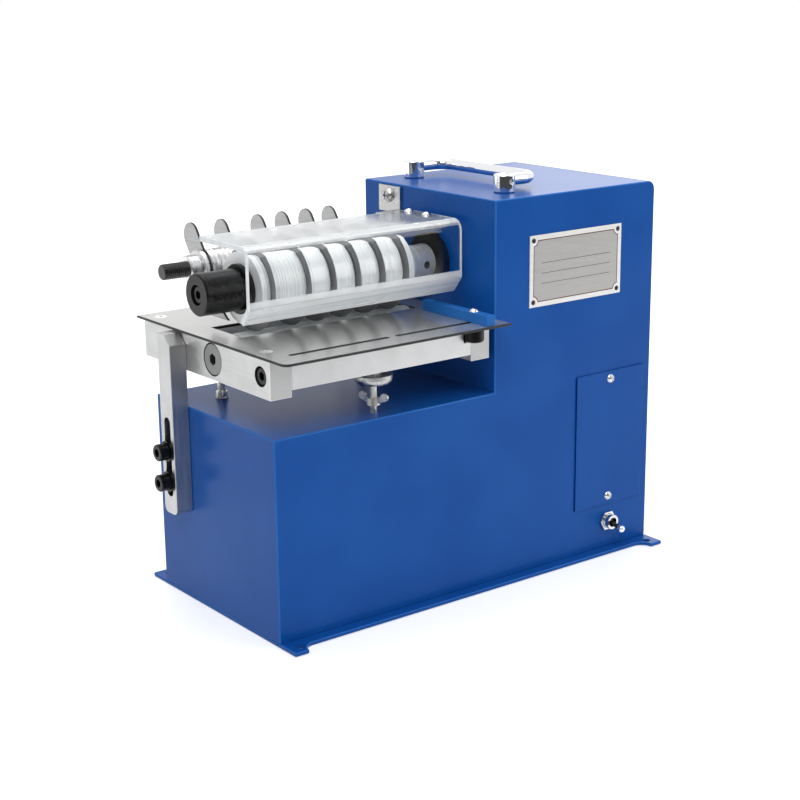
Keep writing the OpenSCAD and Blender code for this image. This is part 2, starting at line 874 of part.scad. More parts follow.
module knives() {
    r = knife_d / 2;
    color("darkgray") for (i = [0:knife_count - 1]) {
        along_x(knife_x(i) - knife_t / 2, roll_y, roll_h) rotate_extrude() polygon([
            [shaft_bore_d / 2, 0], [r - knife_bevel, 0], [r, knife_t / 2],
            [r - knife_bevel, knife_t], [shaft_bore_d / 2, knife_t]
        ]);
    }
}

// Fills the space between two faces on the shaft with thin rings
module ring_stack(xa, xb) {
    count = max(1, floor((xb - xa) / ring_t));
    t = (xb - xa) / count;
    for (i = [0:count - 1]) {
        along_x(xa + i * t, roll_y, roll_h) edged_ring(spacer_d, shaft_bore_d, t, 0.35);
    }
}

module ring_spacers() {
    color("lightgray") {
        ring_stack(stack_x, knife_x(0) - knife_t / 2);
        ring_stack(knife_x(0) + knife_t / 2, knife_x(1) - knife_t / 2);
    }
}

module knife_spacers() {
    spacer_edge = 1.5;
    color("lightgray") {
        for (i = [1:knife_count - 2]) {
            along_x(knife_x(i) + knife_t / 2, roll_y, roll_h) {
                edged_ring(spacer_d, shaft_bore_d, knife_x(i + 1) - knife_x(i) - knife_t, spacer_edge);
            }
        }
        along_x(knife_x(knife_count - 1) + knife_t / 2, roll_y, roll_h) {
            edged_ring(spacer_d, shaft_bore_d, last_spacer_l, spacer_edge);
        }
    }
}

module clamp_washer() {
    color("dimgray") along_x(washer_x, roll_y, roll_h) {
        edged_ring(clamp_washer_d, shaft_bore_d, washer_t, 0.6);
    }
}

module end_cap() {
    color("dimgray") along_x(end_cap_x, roll_y, roll_h) difference() {
        edged_ring(end_cap_d, end_screw_d + hole_gap, end_cap_l, 1);
        translate([0, 0, -1]) {
            cylinder(d = end_screw_head_d + 2, h = end_screw_head_h + end_screw_recess + 1);
        }
        translate([0, 0, end_cap_l - spigot_l]) cylinder(d = spigot_d + 2 * fit_gap, h = spigot_l + 1);
    }
}

module end_screw() {
    head_x = end_cap_x + end_screw_recess + end_screw_head_h;
    color("dimgray") translate([head_x, roll_y, roll_h]) rotate([0, -90, 0]) {
        socket_screw(end_screw_d, end_screw_head_d, end_screw_head_h, shaft_left - head_x + 12);
    }
}

collar_screw_d = 6;

module shaft_collar() {
    color("silver") difference() {
        along_x(collar_x, roll_y, roll_h) edged_ring(collar_d, shaft_bore_d, collar_l, 0.8);
        out_front(collar_screw_x, roll_y, roll_h) cylinder(d = collar_screw_d, h = collar_d);
    }
}

module collar_screw() {
    screw_l = (collar_d - shaft_bore_d) / 2 - 0.5;
    key = collar_screw_d / 2;
    color("dimgray") out_front(collar_screw_x, roll_y - shaft_bore_d / 2, roll_h) difference() {
        cylinder(d = collar_screw_d - 2 * fit_gap, h = screw_l);
        translate([0, 0, screw_l / 2]) cylinder(d = key / cos(30), h = screw_l, $fn = 6);
    }
}

// Belt pulley with two flanges and a hub
module pulley(d, bore) {
    inner_d = d - 2 * belt_gap;
    rotate_extrude() polygon([
        [bore / 2, 0], [d / 2 + pulley_flange, 0], [d / 2 + pulley_flange, pulley_rim],
        [inner_d / 2, pulley_rim], [inner_d / 2, pulley_w - pulley_rim],
        [d / 2 + pulley_flange, pulley_w - pulley_rim], [d / 2 + pulley_flange, pulley_w],
        [bore / 2, pulley_w]
    ]);
}

module shaft_pulley() {
    web_holes = 5;
    hole_d = (shaft_pulley_d - shaft_d) / 4;
    color("darkgray") along_x(pulley_x, roll_y, roll_h) difference() {
        pulley(shaft_pulley_d, shaft_bore_d);
        for (i = [0:web_holes - 1]) {
            rotate(i * 360 / web_holes) translate([(shaft_pulley_d + shaft_d) / 4, 0, -1]) {
                cylinder(d = hole_d, h = pulley_w + 2);
            }
        }
    }
}

module gear_motor() {
    end_t = 8;
    can_gap = 3;
    boss_l_motor = bearing_plate_t - 1;
    color("dimgray") along_x(plate_x, roll_y, motor_h) difference() {
        union() {
            translate([0, 0, -gearbox_l]) edged_ring(gearbox_d, 0, gearbox_l, 2);
            translate([0, 0, -gearbox_l - motor_l]) edged_ring(motor_d, 0, motor_l + 1, 2);
            translate([0, 0, -gearbox_l - motor_l - end_t]) {
                edged_ring(motor_d - 2 * can_gap, 0, end_t + 1, 2);
            }
            cylinder(d = motor_boss_d, h = boss_l_motor);
            for (i = [0:3]) {
                rotate(i * 90 + 45) translate([motor_screw_pcd / 2, 0, 0]) {
                    cylinder(d = motor_screw_d, h = bearing_plate_t + 4);
                }
            }
        }
        translate([0, 0, -motor_shaft_l_in]) {
            cylinder(d = motor_shaft_d + 2 * fit_gap, h = motor_shaft_l_in + bearing_plate_t + 1);
        }
    }
}

motor_shaft_l_in = 16;

module motor_shaft() {
    color("silver") along_x(plate_x - motor_shaft_l_in + 0.5, roll_y, motor_h) {
        cylinder(d = motor_shaft_d, h = shaft_end - plate_x + motor_shaft_l_in - 0.5);
    }
}

module motor_pulley() {
    color("darkgray") along_x(pulley_x, roll_y, motor_h) {
        pulley(motor_pulley_d, motor_shaft_d + 2 * fit_gap);
    }
}

// Outline of a belt round two pulleys, one above the other
module belt_2d(r_low, r_high, c) {
    lean = asin((r_low - r_high) / c);
    circle(r_low);
    translate([0, c]) circle(r_high);
    polygon([
        [r_low * cos(lean), r_low * sin(lean)], [r_high * cos(lean), c + r_high * sin(lean)],
        [-r_high * cos(lean), c + r_high * sin(lean)], [-r_low * cos(lean), r_low * sin(lean)]
    ]);
}

module drive_belt() {
    low = motor_pulley_d / 2;
    high = shaft_pulley_d / 2;
    rise = roll_h - motor_h;
    belt_x = pulley_x + (pulley_w - belt_w) / 2;
    color("dimgray") translate([0, roll_y, motor_h]) sheet_x(belt_x, belt_w) difference() {
        belt_2d(low + belt_t, high + belt_t, rise);
        belt_2d(low, high, rise);
    }
}

rod_wall_in = 14;

module stripper_rod() {
    color("dimgray") along_x(rod_x, rod_axis_y, rod_z) edged_ring(rod_d, 0, x_wall + rod_wall_in - rod_x, 1);
}

module stripper_nuts() {
    inner_nut_t = 8;
    color("silver") {
        along_x(rod_nut_x, rod_axis_y, rod_z) {
            edged_ring(rod_nut_d, rod_d + 2 * fit_gap, rod_nut_t, 1);
        }
        along_x(x_wall + sheet_t, rod_axis_y, rod_z) hex_nut(rod_nut_d, rod_d + 2 * fit_gap, inner_nut_t);
    }
}

// Tube on the stripper rod between two faces
module rod_tube(xa, xb) {
    along_x(xa, rod_axis_y, rod_z) edged_ring(rod_spacer_d, rod_d + 2 * fit_gap, xb - xa, 0.6);
}

module stripper_spacers() {
    last = knife_count - 1;
    color("lightgray") {
        rod_tube(rod_nut_x + rod_nut_t, finger_x(0) - finger_t / 2);
        for (i = [0:last - 1]) {
            rod_tube(finger_x(i) + finger_t / 2, finger_x(i + 1) - finger_t / 2);
        }
        rod_tube(finger_x(last) + finger_t / 2, x_wall);
    }
}

// Flat finger: round at the top, hollowed where it passes the knife roll
module finger_2d() {
    finger_down = 60;
    roll_gap = 1.5;
    difference() {
        translate([rod_axis_y, rod_z]) rotate(finger_tilt) {
            translate([-finger_down, -finger_w / 2]) {
                square([finger_down + finger_up - finger_w / 2, finger_w]);
            }
            translate([finger_up - finger_w / 2, 0]) circle(d = finger_w);
        }
        translate([rod_axis_y, rod_z]) circle(d = rod_d + 2 * fit_gap);
        translate([roll_y, roll_h]) circle(d = spacer_d + 2 * roll_gap);
        translate([y_front, 0]) square([body_d, table_h + finger_clear]);
    }
}

module stripper_fingers() {
    color("darkgray") for (i = [0:knife_count - 1]) {
        sheet_x(finger_x(i) - finger_t / 2, finger_t) finger_2d();
    }
}

guard_x = x_wall - guard_wall_gap - guard_l;
guard_y = y_front + guard_front;
guard_y_back = y_front + guard_back;
guard_top = roll_h + knife_d / 2 + guard_clear + guard_t;
guard_lip_z = roll_h - guard_lip_drop;
guard_screw_x = x_wall - (guard_wall_gap + bracket_foot_w) / 2;
guard_screw_ys = [for (i = [0, 1]) guard_y_back - guard_screw_inset - i * guard_screw_pitch];

// Bent sheet: flat top, round upper bend, upright front and a slanted lip
module guard_2d() {
    bend_z = guard_top - guard_r;
    translate([guard_y + guard_r, guard_top - guard_t]) square([guard_y_back - guard_y - guard_r, guard_t]);
    intersection() {
        translate([guard_y, bend_z]) square(guard_r);
        translate([guard_y + guard_r, bend_z]) difference() {
            circle(guard_r);
            circle(guard_r - guard_t);
        }
    }
    translate([guard_y, guard_lip_z]) square([guard_t, bend_z - guard_lip_z]);
    translate([guard_y + guard_t / 2, guard_lip_z]) {
        circle(d = guard_t);
        rotate(guard_lip_tilt) translate([-guard_t / 2, -guard_lip_l]) square([guard_t, guard_lip_l]);
    }
}

module guard() {
    color("lightcyan", 0.4) difference() {
        sheet_x(guard_x, guard_l) guard_2d();
        for (y = guard_screw_ys) {
            translate([guard_screw_x, y, guard_top - guard_t - 1]) {
                cylinder(d = guard_screw_d + hole_gap, h = guard_t + 2);
            }
        }
    }
}

bracket_z = guard_top - guard_t - bracket_t;
bracket_y_back = y_front + bracket_back;
bracket_foot_y = bracket_y_back - bracket_w + bracket_foot_lap;
bracket_top = upright_h - bracket_drop;
bracket_bolt_y = bracket_y_back - bracket_w / 2;
bracket_bolt_z = (guard_top + bracket_top) / 2;

module guard_bracket() {
    color("lightgray") difference() {
        union() {
            translate([x_wall - bracket_t, bracket_y_back - bracket_w, bracket_z]) {
                cube([bracket_t, bracket_w, bracket_top - bracket_z]);
            }
            translate([x_wall - bracket_foot_w, bracket_foot_y - bracket_foot_l, bracket_z]) {
                cube([bracket_foot_w, bracket_foot_l, bracket_t]);
            }
        }
        for (y = guard_screw_ys) {
            translate([guard_screw_x, y, bracket_z - 1]) {
                cylinder(d = guard_screw_d + hole_gap, h = bracket_t + 2);
            }
        }
        along_x(x_wall - bracket_t - 1, bracket_bolt_y, bracket_bolt_z) {
            cylinder(d = bracket_bolt_d + hole_gap, h = bracket_t + 2);
        }
    }
}

module guard_screws() {
    color("silver") for (y = guard_screw_ys) {
        translate([guard_screw_x, y, guard_top]) {
            dome_screw(guard_screw_d, guard_screw_d * 1.9, guard_screw_d * 0.6, bracket_t + guard_t + 2);
        }
    }
}

module bracket_bolt() {
    head_d = 11.5;
    head_h = 5;
    color("silver") translate([x_wall - bracket_t, bracket_bolt_y, bracket_bolt_z]) rotate([0, -90, 0]) {
        dome_screw(bracket_bolt_d, head_d, head_h, bracket_t + sheet_t + 6);
    }
}

table_x = arm_x - table_left_out;
table_y = y_front - table_front_out;
table_w = x_wall - table_wall_gap - table_x;
table_d = y_front + table_back - table_y;
window_x = arm_x + arm_w + window_side;
window_l = right_arm_x - window_side - window_x;
slot_right_x = fence_screw_x - slot_right_l;
slot_left_x = table_x + slot_margin;
slot_left_l = slot_right_x - slot_bridge - slot_left_x;
plate_screw_places = [
    for (x = [arm_x, right_arm_x], y = [plate_screw_front, plate_screw_back]) [x + arm_w / 2, y_front + y]
];

module table_plate() {
    color("lightgray") difference() {
        translate([0, 0, frame_top]) linear_extrude(table_t) difference() {
            union() {
                translate([table_x + table_corner_r, table_y]) square([table_w - table_corner_r, table_d]);
                translate([table_x, table_y + table_corner_r]) square([table_w, table_d - table_corner_r]);
                translate([table_x + table_corner_r, table_y + table_corner_r]) circle(table_corner_r);
            }
            translate([window_x, y_front + window_front]) {
                square([window_l, window_back - window_front]);
            }
            translate([slot_left_x + slot_left_l / 2, fence_screw_y]) slot_2d(slot_left_l, slot_w);
            translate([slot_right_x + slot_right_l / 2, fence_screw_y]) slot_2d(slot_right_l, slot_w);
            translate([fence_screw_x, fence_screw_y]) circle(d = fence_screw_d + hole_gap);
        }
        for (p = plate_screw_places) {
            translate([p[0], p[1], frame_top - 1]) cylinder(d = plate_screw_d * 2, h = table_t + 2);
        }
    }
}

module plate_screws() {
    key = 3;
    color("silver") for (p = plate_screw_places) {
        translate([p[0], p[1], frame_top]) difference() {
            union() {
                cylinder(d = plate_screw_d * 2 - 2 * fit_gap, h = table_t);
                translate([0, 0, -plate_screw_l]) cylinder(d = plate_screw_d, h = plate_screw_l);
            }
            translate([0, 0, table_t / 2]) cylinder(d = key / cos(30), h = table_t, $fn = 6);
        }
    }
}

frame_screw_z = frame_top - arm_h / 2 + 1;
axle_head_t = 3;
axle_head_gap = 0.7;

// Blind hole for a plate screw in an arm
module plate_screw_hole(p) {
    translate([p[0], p[1], frame_top - plate_screw_l]) {
        cylinder(d = plate_screw_d + hole_gap, h = plate_screw_l + 1);
    }
}

// Clearance round the fence's clamp nut
module fence_nut_room() {
    room = 0.5;
    translate([fence_screw_x, fence_screw_y, frame_top - fence_nut_h - room]) {
        cylinder(d = fence_nut_d + 2 * room, h = fence_nut_h + 2);
    }
}

module left_arm() {
    color("lightgray") difference() {
        translate([arm_x, arm_y, arm_z]) cube([arm_w, arm_back - arm_front, arm_h]);
        along_x(arm_x - 1, roll_y, anvil_z) {
            cylinder(d = axle_d + 2 * fit_gap, h = arm_w + 2);
            cylinder(d = axle_head_d + 2 * axle_head_gap, h = axle_head_t + 1);
        }
        along_x(arm_x - 1, front_rail_y + rail_w / 2, frame_screw_z) {
            cylinder(d = frame_screw_d + hole_gap, h = arm_w + 2);
            cylinder(d = counterbore_d, h = counterbore_deep + 1);
        }
        for (p = plate_screw_places) {
            plate_screw_hole(p);
        }
    }
}

module right_arm() {
    color("lightgray") difference() {
        translate([right_arm_x, arm_y, arm_z]) cube([arm_w, arm_back - arm_front, arm_h]);
        along_x(right_arm_x - 1, roll_y, anvil_z) cylinder(d = axle_d + 2 * fit_gap, h = arm_w + 2);
        for (p = plate_screw_places) {
            plate_screw_hole(p);
        }
        fence_nut_room();
    }
}

// Blind hole for a jack screw, open at the rail's underside
module jack_hole(p) {
    translate([p[0], p[1], rail_z - 1]) cylinder(d = jack_d + 2 * fit_gap, h = jack_hole_deep + 1);
}

module front_rail() {
    color("lightgray") difference() {
        translate([arm_x + arm_w, front_rail_y, rail_z]) cube([rail_l, rail_w, rail_h]);
        jack_hole(front_jack);
        along_x(arm_x, front_rail_y + rail_w / 2, frame_screw_z) {
            cylinder(d = frame_screw_d + hole_gap, h = arm_w + frame_screw_l);
        }
        fence_nut_room();
    }
}

module rear_rail() {
    color("lightgray") difference() {
        translate([arm_x + arm_w, rear_rail_front, rail_z]) cube([rail_l, rail_w, rail_h]);
        jack_hole(left_jack);
        jack_hole(right_jack);
    }
}

module frame_screws() {
    color("dimgray") translate([arm_x + counterbore_deep, front_rail_y + rail_w / 2, frame_screw_z]) {
        rotate([0, -90, 0]) {
            socket_screw(frame_screw_d, frame_screw_head_d, frame_screw_head_h, frame_screw_l);
        }
    }
}

module edge_fence() {
    fence_y = table_y + 2;
    color("royalblue") difference() {
        translate([fence_x, fence_y, table_h]) {
            cube([fence_w, y_front + fence_back - fence_y, fence_h]);
        }
        translate([fence_screw_x, fence_screw_y, table_h - 1]) {
            cylinder(d = fence_screw_d + hole_gap, h = fence_h + 2);
        }
    }
}

module fence_screw() {
    color("silver") translate([fence_screw_x, fence_screw_y, table_h + fence_h]) {
        dome_screw(fence_screw_d, fence_w - 0.5, fence_screw_d * 0.5, fence_h + table_t + fence_nut_h - 2);
    }
}

module fence_nut() {
    color("dimgray") translate([fence_screw_x, fence_screw_y, frame_top - fence_nut_h]) {
        edged_ring(fence_nut_d, fence_screw_d + 2 * fit_gap, fence_nut_h, 1);
    }
}

module roller_axle() {
    key = 8;
    axle_l = right_arm_x + arm_w - arm_x;
    color("gray") along_x(arm_x, roll_y, anvil_z) difference() {
        union() {
            edged_ring(axle_head_d, 0, axle_head_t, 0.5);
            cylinder(d = axle_d, h = axle_l);
        }
        translate([0, 0, -1]) cylinder(d = key / cos(30), h = key + 1, $fn = 6);
    }
}

bush_wall = 3;
bush_d = axle_d + 2 * bush_wall;
bush_flange_w = 4;
bush_l = 16;
bush_flange_t = 3;
bush_gap = 0.3;
anvil_x = arm_x + arm_w + bush_gap + bush_flange_t;
anvil_l = rail_l - 2 * (bush_gap + bush_flange_t);

module anvil_roller() {
    color("darkgray") along_x(anvil_x, roll_y, anvil_z) {
        edged_ring(anvil_d, bush_d + 2 * fit_gap, anvil_l, 1);
    }
}

module roller_bushes() {
    color("goldenrod") for (side = [0, 1]) {
        along_x(anvil_x + side * anvil_l, roll_y, anvil_z) mirror([0, 0, side]) {
            ring(bush_d, axle_d + 2 * fit_gap, bush_l);
            translate([0, 0, -bush_flange_t]) {
                ring(bush_d + 2 * bush_flange_w, axle_d + 2 * fit_gap, bush_flange_t);
            }
        }
    }
}

post_top_gap = 1;
post_chamfer = 8;
post_slot_gap = 0.3;

// Post seen from the left: round lower corners, a slanted upper front corner and a long slot
module post_2d() {
    low = y_front + post_y;
    top = frame_top - post_top_gap;
    difference() {
        union() {
            translate([low, post_bottom + post_corner_r]) {
                square([post_w, top - post_bottom - post_corner_r]);
            }
            translate([low + post_corner_r, post_bottom]) {
                square([post_w - 2 * post_corner_r, post_corner_r + 1]);
            }
            for (y = [low + post_corner_r, low + post_w - post_corner_r]) {
                translate([y, post_bottom + post_corner_r]) circle(post_corner_r);
            }
        }
        polygon([[low - 1, top + 1], [low - 1, top - post_chamfer - 1], [low + post_chamfer + 1, top + 1]]);
        translate([post_mid_y, base_h - post_slot_drop - post_slot_l / 2]) rotate(90) {
            slot_2d(post_slot_l, post_bolt_d + 2 * post_slot_gap);
        }
    }
}

module slotted_post() {
    color("lightgray") sheet_x(post_inner_x - post_t, post_t) post_2d();
}

module post_bolts() {
    washer_d = 16;
    bolt_washer_t = 1.6;
    head_d = post_bolt_d * 1.625;
    head_x = post_inner_x - post_t - slide_gap;
    bolt_l = bolt_washer_t + post_t + sheet_t + 8;
    color("dimgray") for (i = [0, 1]) {
        translate([head_x, post_mid_y, post_bolt_z - i * post_bolt_pitch]) rotate([0, -90, 0]) {
            cylinder(d = washer_d, h = bolt_washer_t);
            translate([0, 0, bolt_washer_t]) socket_screw(post_bolt_d, head_d, post_bolt_d, bolt_l);
        }
    }
}

module lock_pad() {
    r = lock_pad_d / 2;
    rim = lock_pad_t * 0.65;
    bore_r = jack_d / 2 + fit_gap;
    color("lightgray") translate([front_jack[0], front_jack[1], rail_z - lock_nut_t]) {
        hex_nut(jack_d * 2, 2 * bore_r, lock_nut_t);
        translate([0, 0, -lock_pad_t]) rotate_extrude() {
            translate([bore_r, 0]) square([r - rim - bore_r, lock_pad_t]);
            translate([r - rim, rim]) intersection() {
                circle(rim);
                translate([0, -rim]) square(rim);
            }
            translate([r - rim, rim]) square([rim, lock_pad_t - rim]);
        }
    }
}

// One wing of a wing nut, drawn upright: a leaning blade with a round tip
module wing_2d(hub_d, hub_h) {
    tip_r = 3;
    blade = tip_r * 0.8;
    tip = [hub_d * 0.9, hub_h + 1];
    lean = 40;
    root = 0.7;
    polygon([
        [0, root], [hub_d * 0.4, root], [tip[0] + blade * sin(lean), tip[1] - blade * cos(lean)],
        [tip[0] - blade * sin(lean), tip[1] + blade * cos(lean)],
        [hub_d * 0.3, hub_h - root], [0, hub_h - root]
    ]);
    translate(tip) circle(tip_r);
}

// Jack screw standing on the base, with a wing nut turned to an angle
module jack(p, wing_lift, turn) {
    hub_d = jack_d * 2;
    hub_h = 5;
    wing_t = 2.2;
    stud_l = rail_z + jack_thread_in - base_h;
    color("silver") translate([p[0], p[1], base_h]) {
        cylinder(d = jack_d, h = stud_l);
        translate([0, 0, wing_lift]) {
            cylinder(d1 = hub_d, d2 = hub_d * 0.85, h = hub_h);
            for (side = [0, 180]) {
                rotate(turn + side) translate([0, wing_t / 2, 0]) rotate([90, 0, 0]) {
                    linear_extrude(wing_t) wing_2d(hub_d, hub_h);
                }
            }
        }
    }
}

module front_jack() {
    jack(front_jack, front_wing_lift, -65);
}

module left_jack() {
    jack(left_jack, 0.5, 70);
}

module right_jack() {
    jack(right_jack, 0.5, 40);
}

foot_plate();
body_shell();
rear_cover();
rear_cover_screws();
access_panel();
panel_screws();
nameplate();
nameplate_rivets();
handle_posts();
handle_pins();
handle_bail();
switch_body();
switch_nut();
switch_lever();
bearing_flange();
shaft_bearings();
bearing_plate();
knife_shaft();
knives();
ring_spacers();
knife_spacers();
clamp_washer();
end_cap();
end_screw();
shaft_collar();
collar_screw();
shaft_pulley();
gear_motor();
motor_shaft();
motor_pulley();
drive_belt();
stripper_rod();
stripper_nuts();
stripper_spacers();
stripper_fingers();
guard();
guard_bracket();
guard_screws();
bracket_bolt();
table_plate();
plate_screws();
left_arm();
right_arm();
front_rail();
rear_rail();
frame_screws();
edge_fence();
fence_screw();
fence_nut();
roller_axle();
anvil_roller();
roller_bushes();
slotted_post();
post_bolts();
lock_pad();
front_jack();
left_jack();
right_jack();
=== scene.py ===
"""Strap cutting machine: a blue bench machine with a roll of disc knives, a clear guard and a feed table."""
import bmesh
import bpy
import numpy as np
from mathutils import Matrix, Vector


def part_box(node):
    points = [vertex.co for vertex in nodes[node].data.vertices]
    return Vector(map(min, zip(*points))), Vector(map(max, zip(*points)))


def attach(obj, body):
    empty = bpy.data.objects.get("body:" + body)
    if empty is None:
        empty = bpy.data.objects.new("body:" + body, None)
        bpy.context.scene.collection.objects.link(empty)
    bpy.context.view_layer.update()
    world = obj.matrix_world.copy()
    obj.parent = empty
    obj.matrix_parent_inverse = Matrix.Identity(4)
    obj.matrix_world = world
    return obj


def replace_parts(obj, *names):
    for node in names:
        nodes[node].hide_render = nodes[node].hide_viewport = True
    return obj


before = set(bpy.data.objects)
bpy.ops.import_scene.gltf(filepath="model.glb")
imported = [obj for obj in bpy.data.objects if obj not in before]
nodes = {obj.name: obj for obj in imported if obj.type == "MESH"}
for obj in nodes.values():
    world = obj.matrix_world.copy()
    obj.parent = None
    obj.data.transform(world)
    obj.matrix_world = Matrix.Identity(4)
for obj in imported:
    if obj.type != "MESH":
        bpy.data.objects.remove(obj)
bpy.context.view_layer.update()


# Studio: a pale floor and a white backdrop, which mirrors see dim on the room side in front, and soft lamps.
# The camera stands where the machine was seen from, to the front left and a little above the guard.
def stand(thing, right, up, back, place):
    """Puts a camera or a lamp at its place, with its own three axes along right, up and back."""
    bpy.context.scene.collection.objects.link(thing)
    turn = np.eye(4)
    turn[:3] = np.column_stack([right, up, back, place])
    thing.matrix_world = Matrix(turn.tolist())


camera_place = (-0.78251, -1.01336, 0.48696)
camera_right = (0.794296, -0.607448, -0.010054)
camera_up = (0.168248, 0.204039, 0.964397)
camera_back = (-0.583769, -0.767708, 0.264269)
camera_data = bpy.data.cameras.new("studio_camera")
camera_data.sensor_width = 36.0
camera_data.lens = 74.5
camera_data.clip_end = 30.0
camera = bpy.data.objects.new("studio_camera", camera_data)
stand(camera, camera_right, camera_up, camera_back, camera_place)
bpy.context.scene.camera = camera
bpy.context.scene.view_settings.view_transform = "Standard"

# Each lamp has its place, the point it faces, its width in metres and its power in watts.
lamps = {
    "key_softbox": ((-0.9, -0.9, 1.7), (-0.05, 0.0, 0.15), 1.1, 15.0),
    "top_softbox": ((0.2, 0.5, 1.9), (0.0, 0.0, 0.2), 1.3, 15.0),
    "right_softbox": ((1.15, -1.5, 1.0), (0.0, 0.0, 0.2), 1.4, 8.5),
    "back_softbox": ((1.8, 1.25, 1.05), (0.1, 0.0, 0.3), 1.0, 5.0),
}
for lamp_name, (place, target, width, power) in lamps.items():
    lamp_data = bpy.data.lights.new(lamp_name, "AREA")
    lamp_data.size = width
    lamp_data.energy = power
    back = np.array(place) - np.array(target)
    back /= np.linalg.norm(back)
    right = np.cross((0.0, 0.0, 1.0), back)
    right /= np.linalg.norm(right)
    stand(bpy.data.objects.new(lamp_name, lamp_data), right, np.cross(back, right), back, place)


def wired(tree, kind, feeds, **settings):
    """A new shader node, where each socket in feeds takes a plain value or the output of another node."""
    made = tree.nodes.new("ShaderNode" + kind)
    for setting, value in settings.items():
        setattr(made, setting, value)
    for socket, value in feeds.items():
        if isinstance(value, bpy.types.NodeSocket):
            tree.links.new(value, made.inputs[socket])
        else:
            made.inputs[socket].default_value = value
    return made


def reckon(tree, operation, *values):
    """The result of one sum on shader values, each a number or the output of another node."""
    return wired(tree, "Math", dict(enumerate(values)), operation=operation).outputs[0]


def ranged(tree, value, start, end, low, high, blend="SMOOTHSTEP"):
    """Goes from low to high while a value goes from start to end, and stays level beyond them."""
    feeds = {"Value": value, "From Min": start, "From Max": end, "To Min": low, "To Max": high}
    return wired(tree, "MapRange", feeds, interpolation_type=blend).outputs["Result"]


def seen_directly(tree):
    """One where a camera, mirror or glass ray looks at the surface, and nought for light that falls."""
    path = wired(tree, "LightPath", {})
    plain = reckon(tree, "MAXIMUM", path.outputs["Is Camera Ray"], path.outputs["Is Glossy Ray"])
    return reckon(tree, "MAXIMUM", plain, path.outputs["Is Transmission Ray"])


# The backdrop is white. Towards the room side, mirrors see it fall to the level of a room.
room_side = (-0.35, -0.93, 0.1)
room_level = 0.16
room_from, room_to = 0.1, 0.75
fill_colour = (0.95, 0.975, 1.0, 1.0)
fill_level = 0.42
world = bpy.data.worlds.new("studio_backdrop")
bpy.context.scene.world = world
world.use_nodes = True
sky = world.node_tree
sky.nodes.clear()
sky_place = wired(sky, "TexCoord", {}).outputs["Generated"]
sky_turn = wired(sky, "VectorMath", {0: sky_place, 1: room_side}, operation="DOT_PRODUCT")
sky_dim = ranged(sky, sky_turn.outputs["Value"], room_from, room_to, 1.0, room_level)
sky_path = wired(sky, "LightPath", {})
sky_level = reckon(sky, "MAXIMUM", sky_path.outputs["Is Camera Ray"], sky_dim)
sky_seen = wired(sky, "Background", {"Color": (1.0, 1.0, 1.0, 1.0), "Strength": sky_level})
sky_fill = wired(sky, "Background", {"Color": fill_colour, "Strength": fill_level})
sky_mix = wired(sky, "MixShader", {0: seen_directly(sky), 1: sky_fill.outputs[0], 2: sky_seen.outputs[0]})
wired(sky, "OutputWorld", {"Surface": sky_mix.outputs[0]})


def finish(name, colour, metallic, roughness):
    """A material with one Principled shader at plain values, to which grain and wear are added."""
    material = bpy.data.materials.new(name)
    material.use_nodes = True
    shader = material.node_tree.nodes["Principled BSDF"]
    shader.inputs["Base Color"].default_value = (*colour, 1.0)
    shader.inputs["Metallic"].default_value = metallic
    shader.inputs["Roughness"].default_value = roughness
    material.diffuse_color = (*colour, 1.0)
    return material


def sheet_mesh(name, points, columns_joined=False, rows_joined=False, capped=False):
    """Turns a grid of points into quads between neighbours, its columns or rows closed round where asked.

    Where capped, one flat face closes the first row and another the last."""
    rows, columns = points.shape[:2]
    number = np.arange(rows * columns).reshape(rows, columns)
    if columns_joined:
        number = np.concatenate([number, number[:, :1]], axis=1)
    if rows_joined:
        number = np.concatenate([number, number[:1]], axis=0)
    corners = [number[:-1, :-1], number[:-1, 1:], number[1:, 1:], number[1:, :-1]]
    faces = np.stack(corners, axis=-1).reshape(-1, 4).tolist()
    if capped:
        faces += [number[0, :columns][::-1].tolist(), number[-1, :columns].tolist()]
    mesh = bpy.data.meshes.new(name)
    mesh.from_pydata(points.reshape(-1, 3).tolist(), [], faces)
    mesh.update()
    return mesh


floor_reach, floor_drop = 6.0, 0.0004
floor_line = np.linspace(-floor_reach, floor_reach, 2)
floor_x, floor_y = np.meshgrid(floor_line, floor_line)
floor_points = np.stack([floor_x, floor_y, np.full_like(floor_x, -floor_drop)], axis=-1)
floor = bpy.data.objects.new("studio_floor", sheet_mesh("studio_floor", floor_points))
bpy.context.scene.collection.objects.link(floor)

# The floor has a faint glow of its own that rises with distance, so that it meets the backdrop.
glow_from, glow_to = 0.4, 1.6
near_glow, far_glow = 0.4, 0.75
dim_from, dim_to = 0.35, 0.95
floor_paint = finish("pale_floor", (0.9, 0.9, 0.9), metallic=0.0, roughness=0.7)
floor.data.materials.append(floor_paint)
floor_tree = floor_paint.node_tree
floor_body = floor_tree.nodes["Principled BSDF"].outputs[0]
floor_place = wired(floor_tree, "TexCoord", {}).outputs["Object"]
floor_far = wired(floor_tree, "VectorMath", {0: floor_place}, operation="LENGTH").outputs["Value"]
floor_level = ranged(floor_tree, floor_far, glow_from, glow_to, near_glow, far_glow, blend="LINEAR")
floor_lift = wired(floor_tree, "Emission", {"Strength": floor_level})
floor_sum = wired(floor_tree, "AddShader", {0: floor_body, 1: floor_lift.outputs[0]})
floor_side = wired(floor_tree, "VectorMath", {0: floor_place, 1: room_side}, operation="DOT_PRODUCT")
floor_dim = ranged(floor_tree, floor_side.outputs["Value"], dim_from, dim_to, 0.0, 1.0)
floor_path = wired(floor_tree, "LightPath", {})
floor_mirrored = wired(floor_tree, "Math", {0: floor_dim, 1: floor_path.outputs["Is Camera Ray"]},
                       operation="SUBTRACT", use_clamp=True)
floor_room = wired(floor_tree, "Emission", {"Strength": near_glow * room_level})
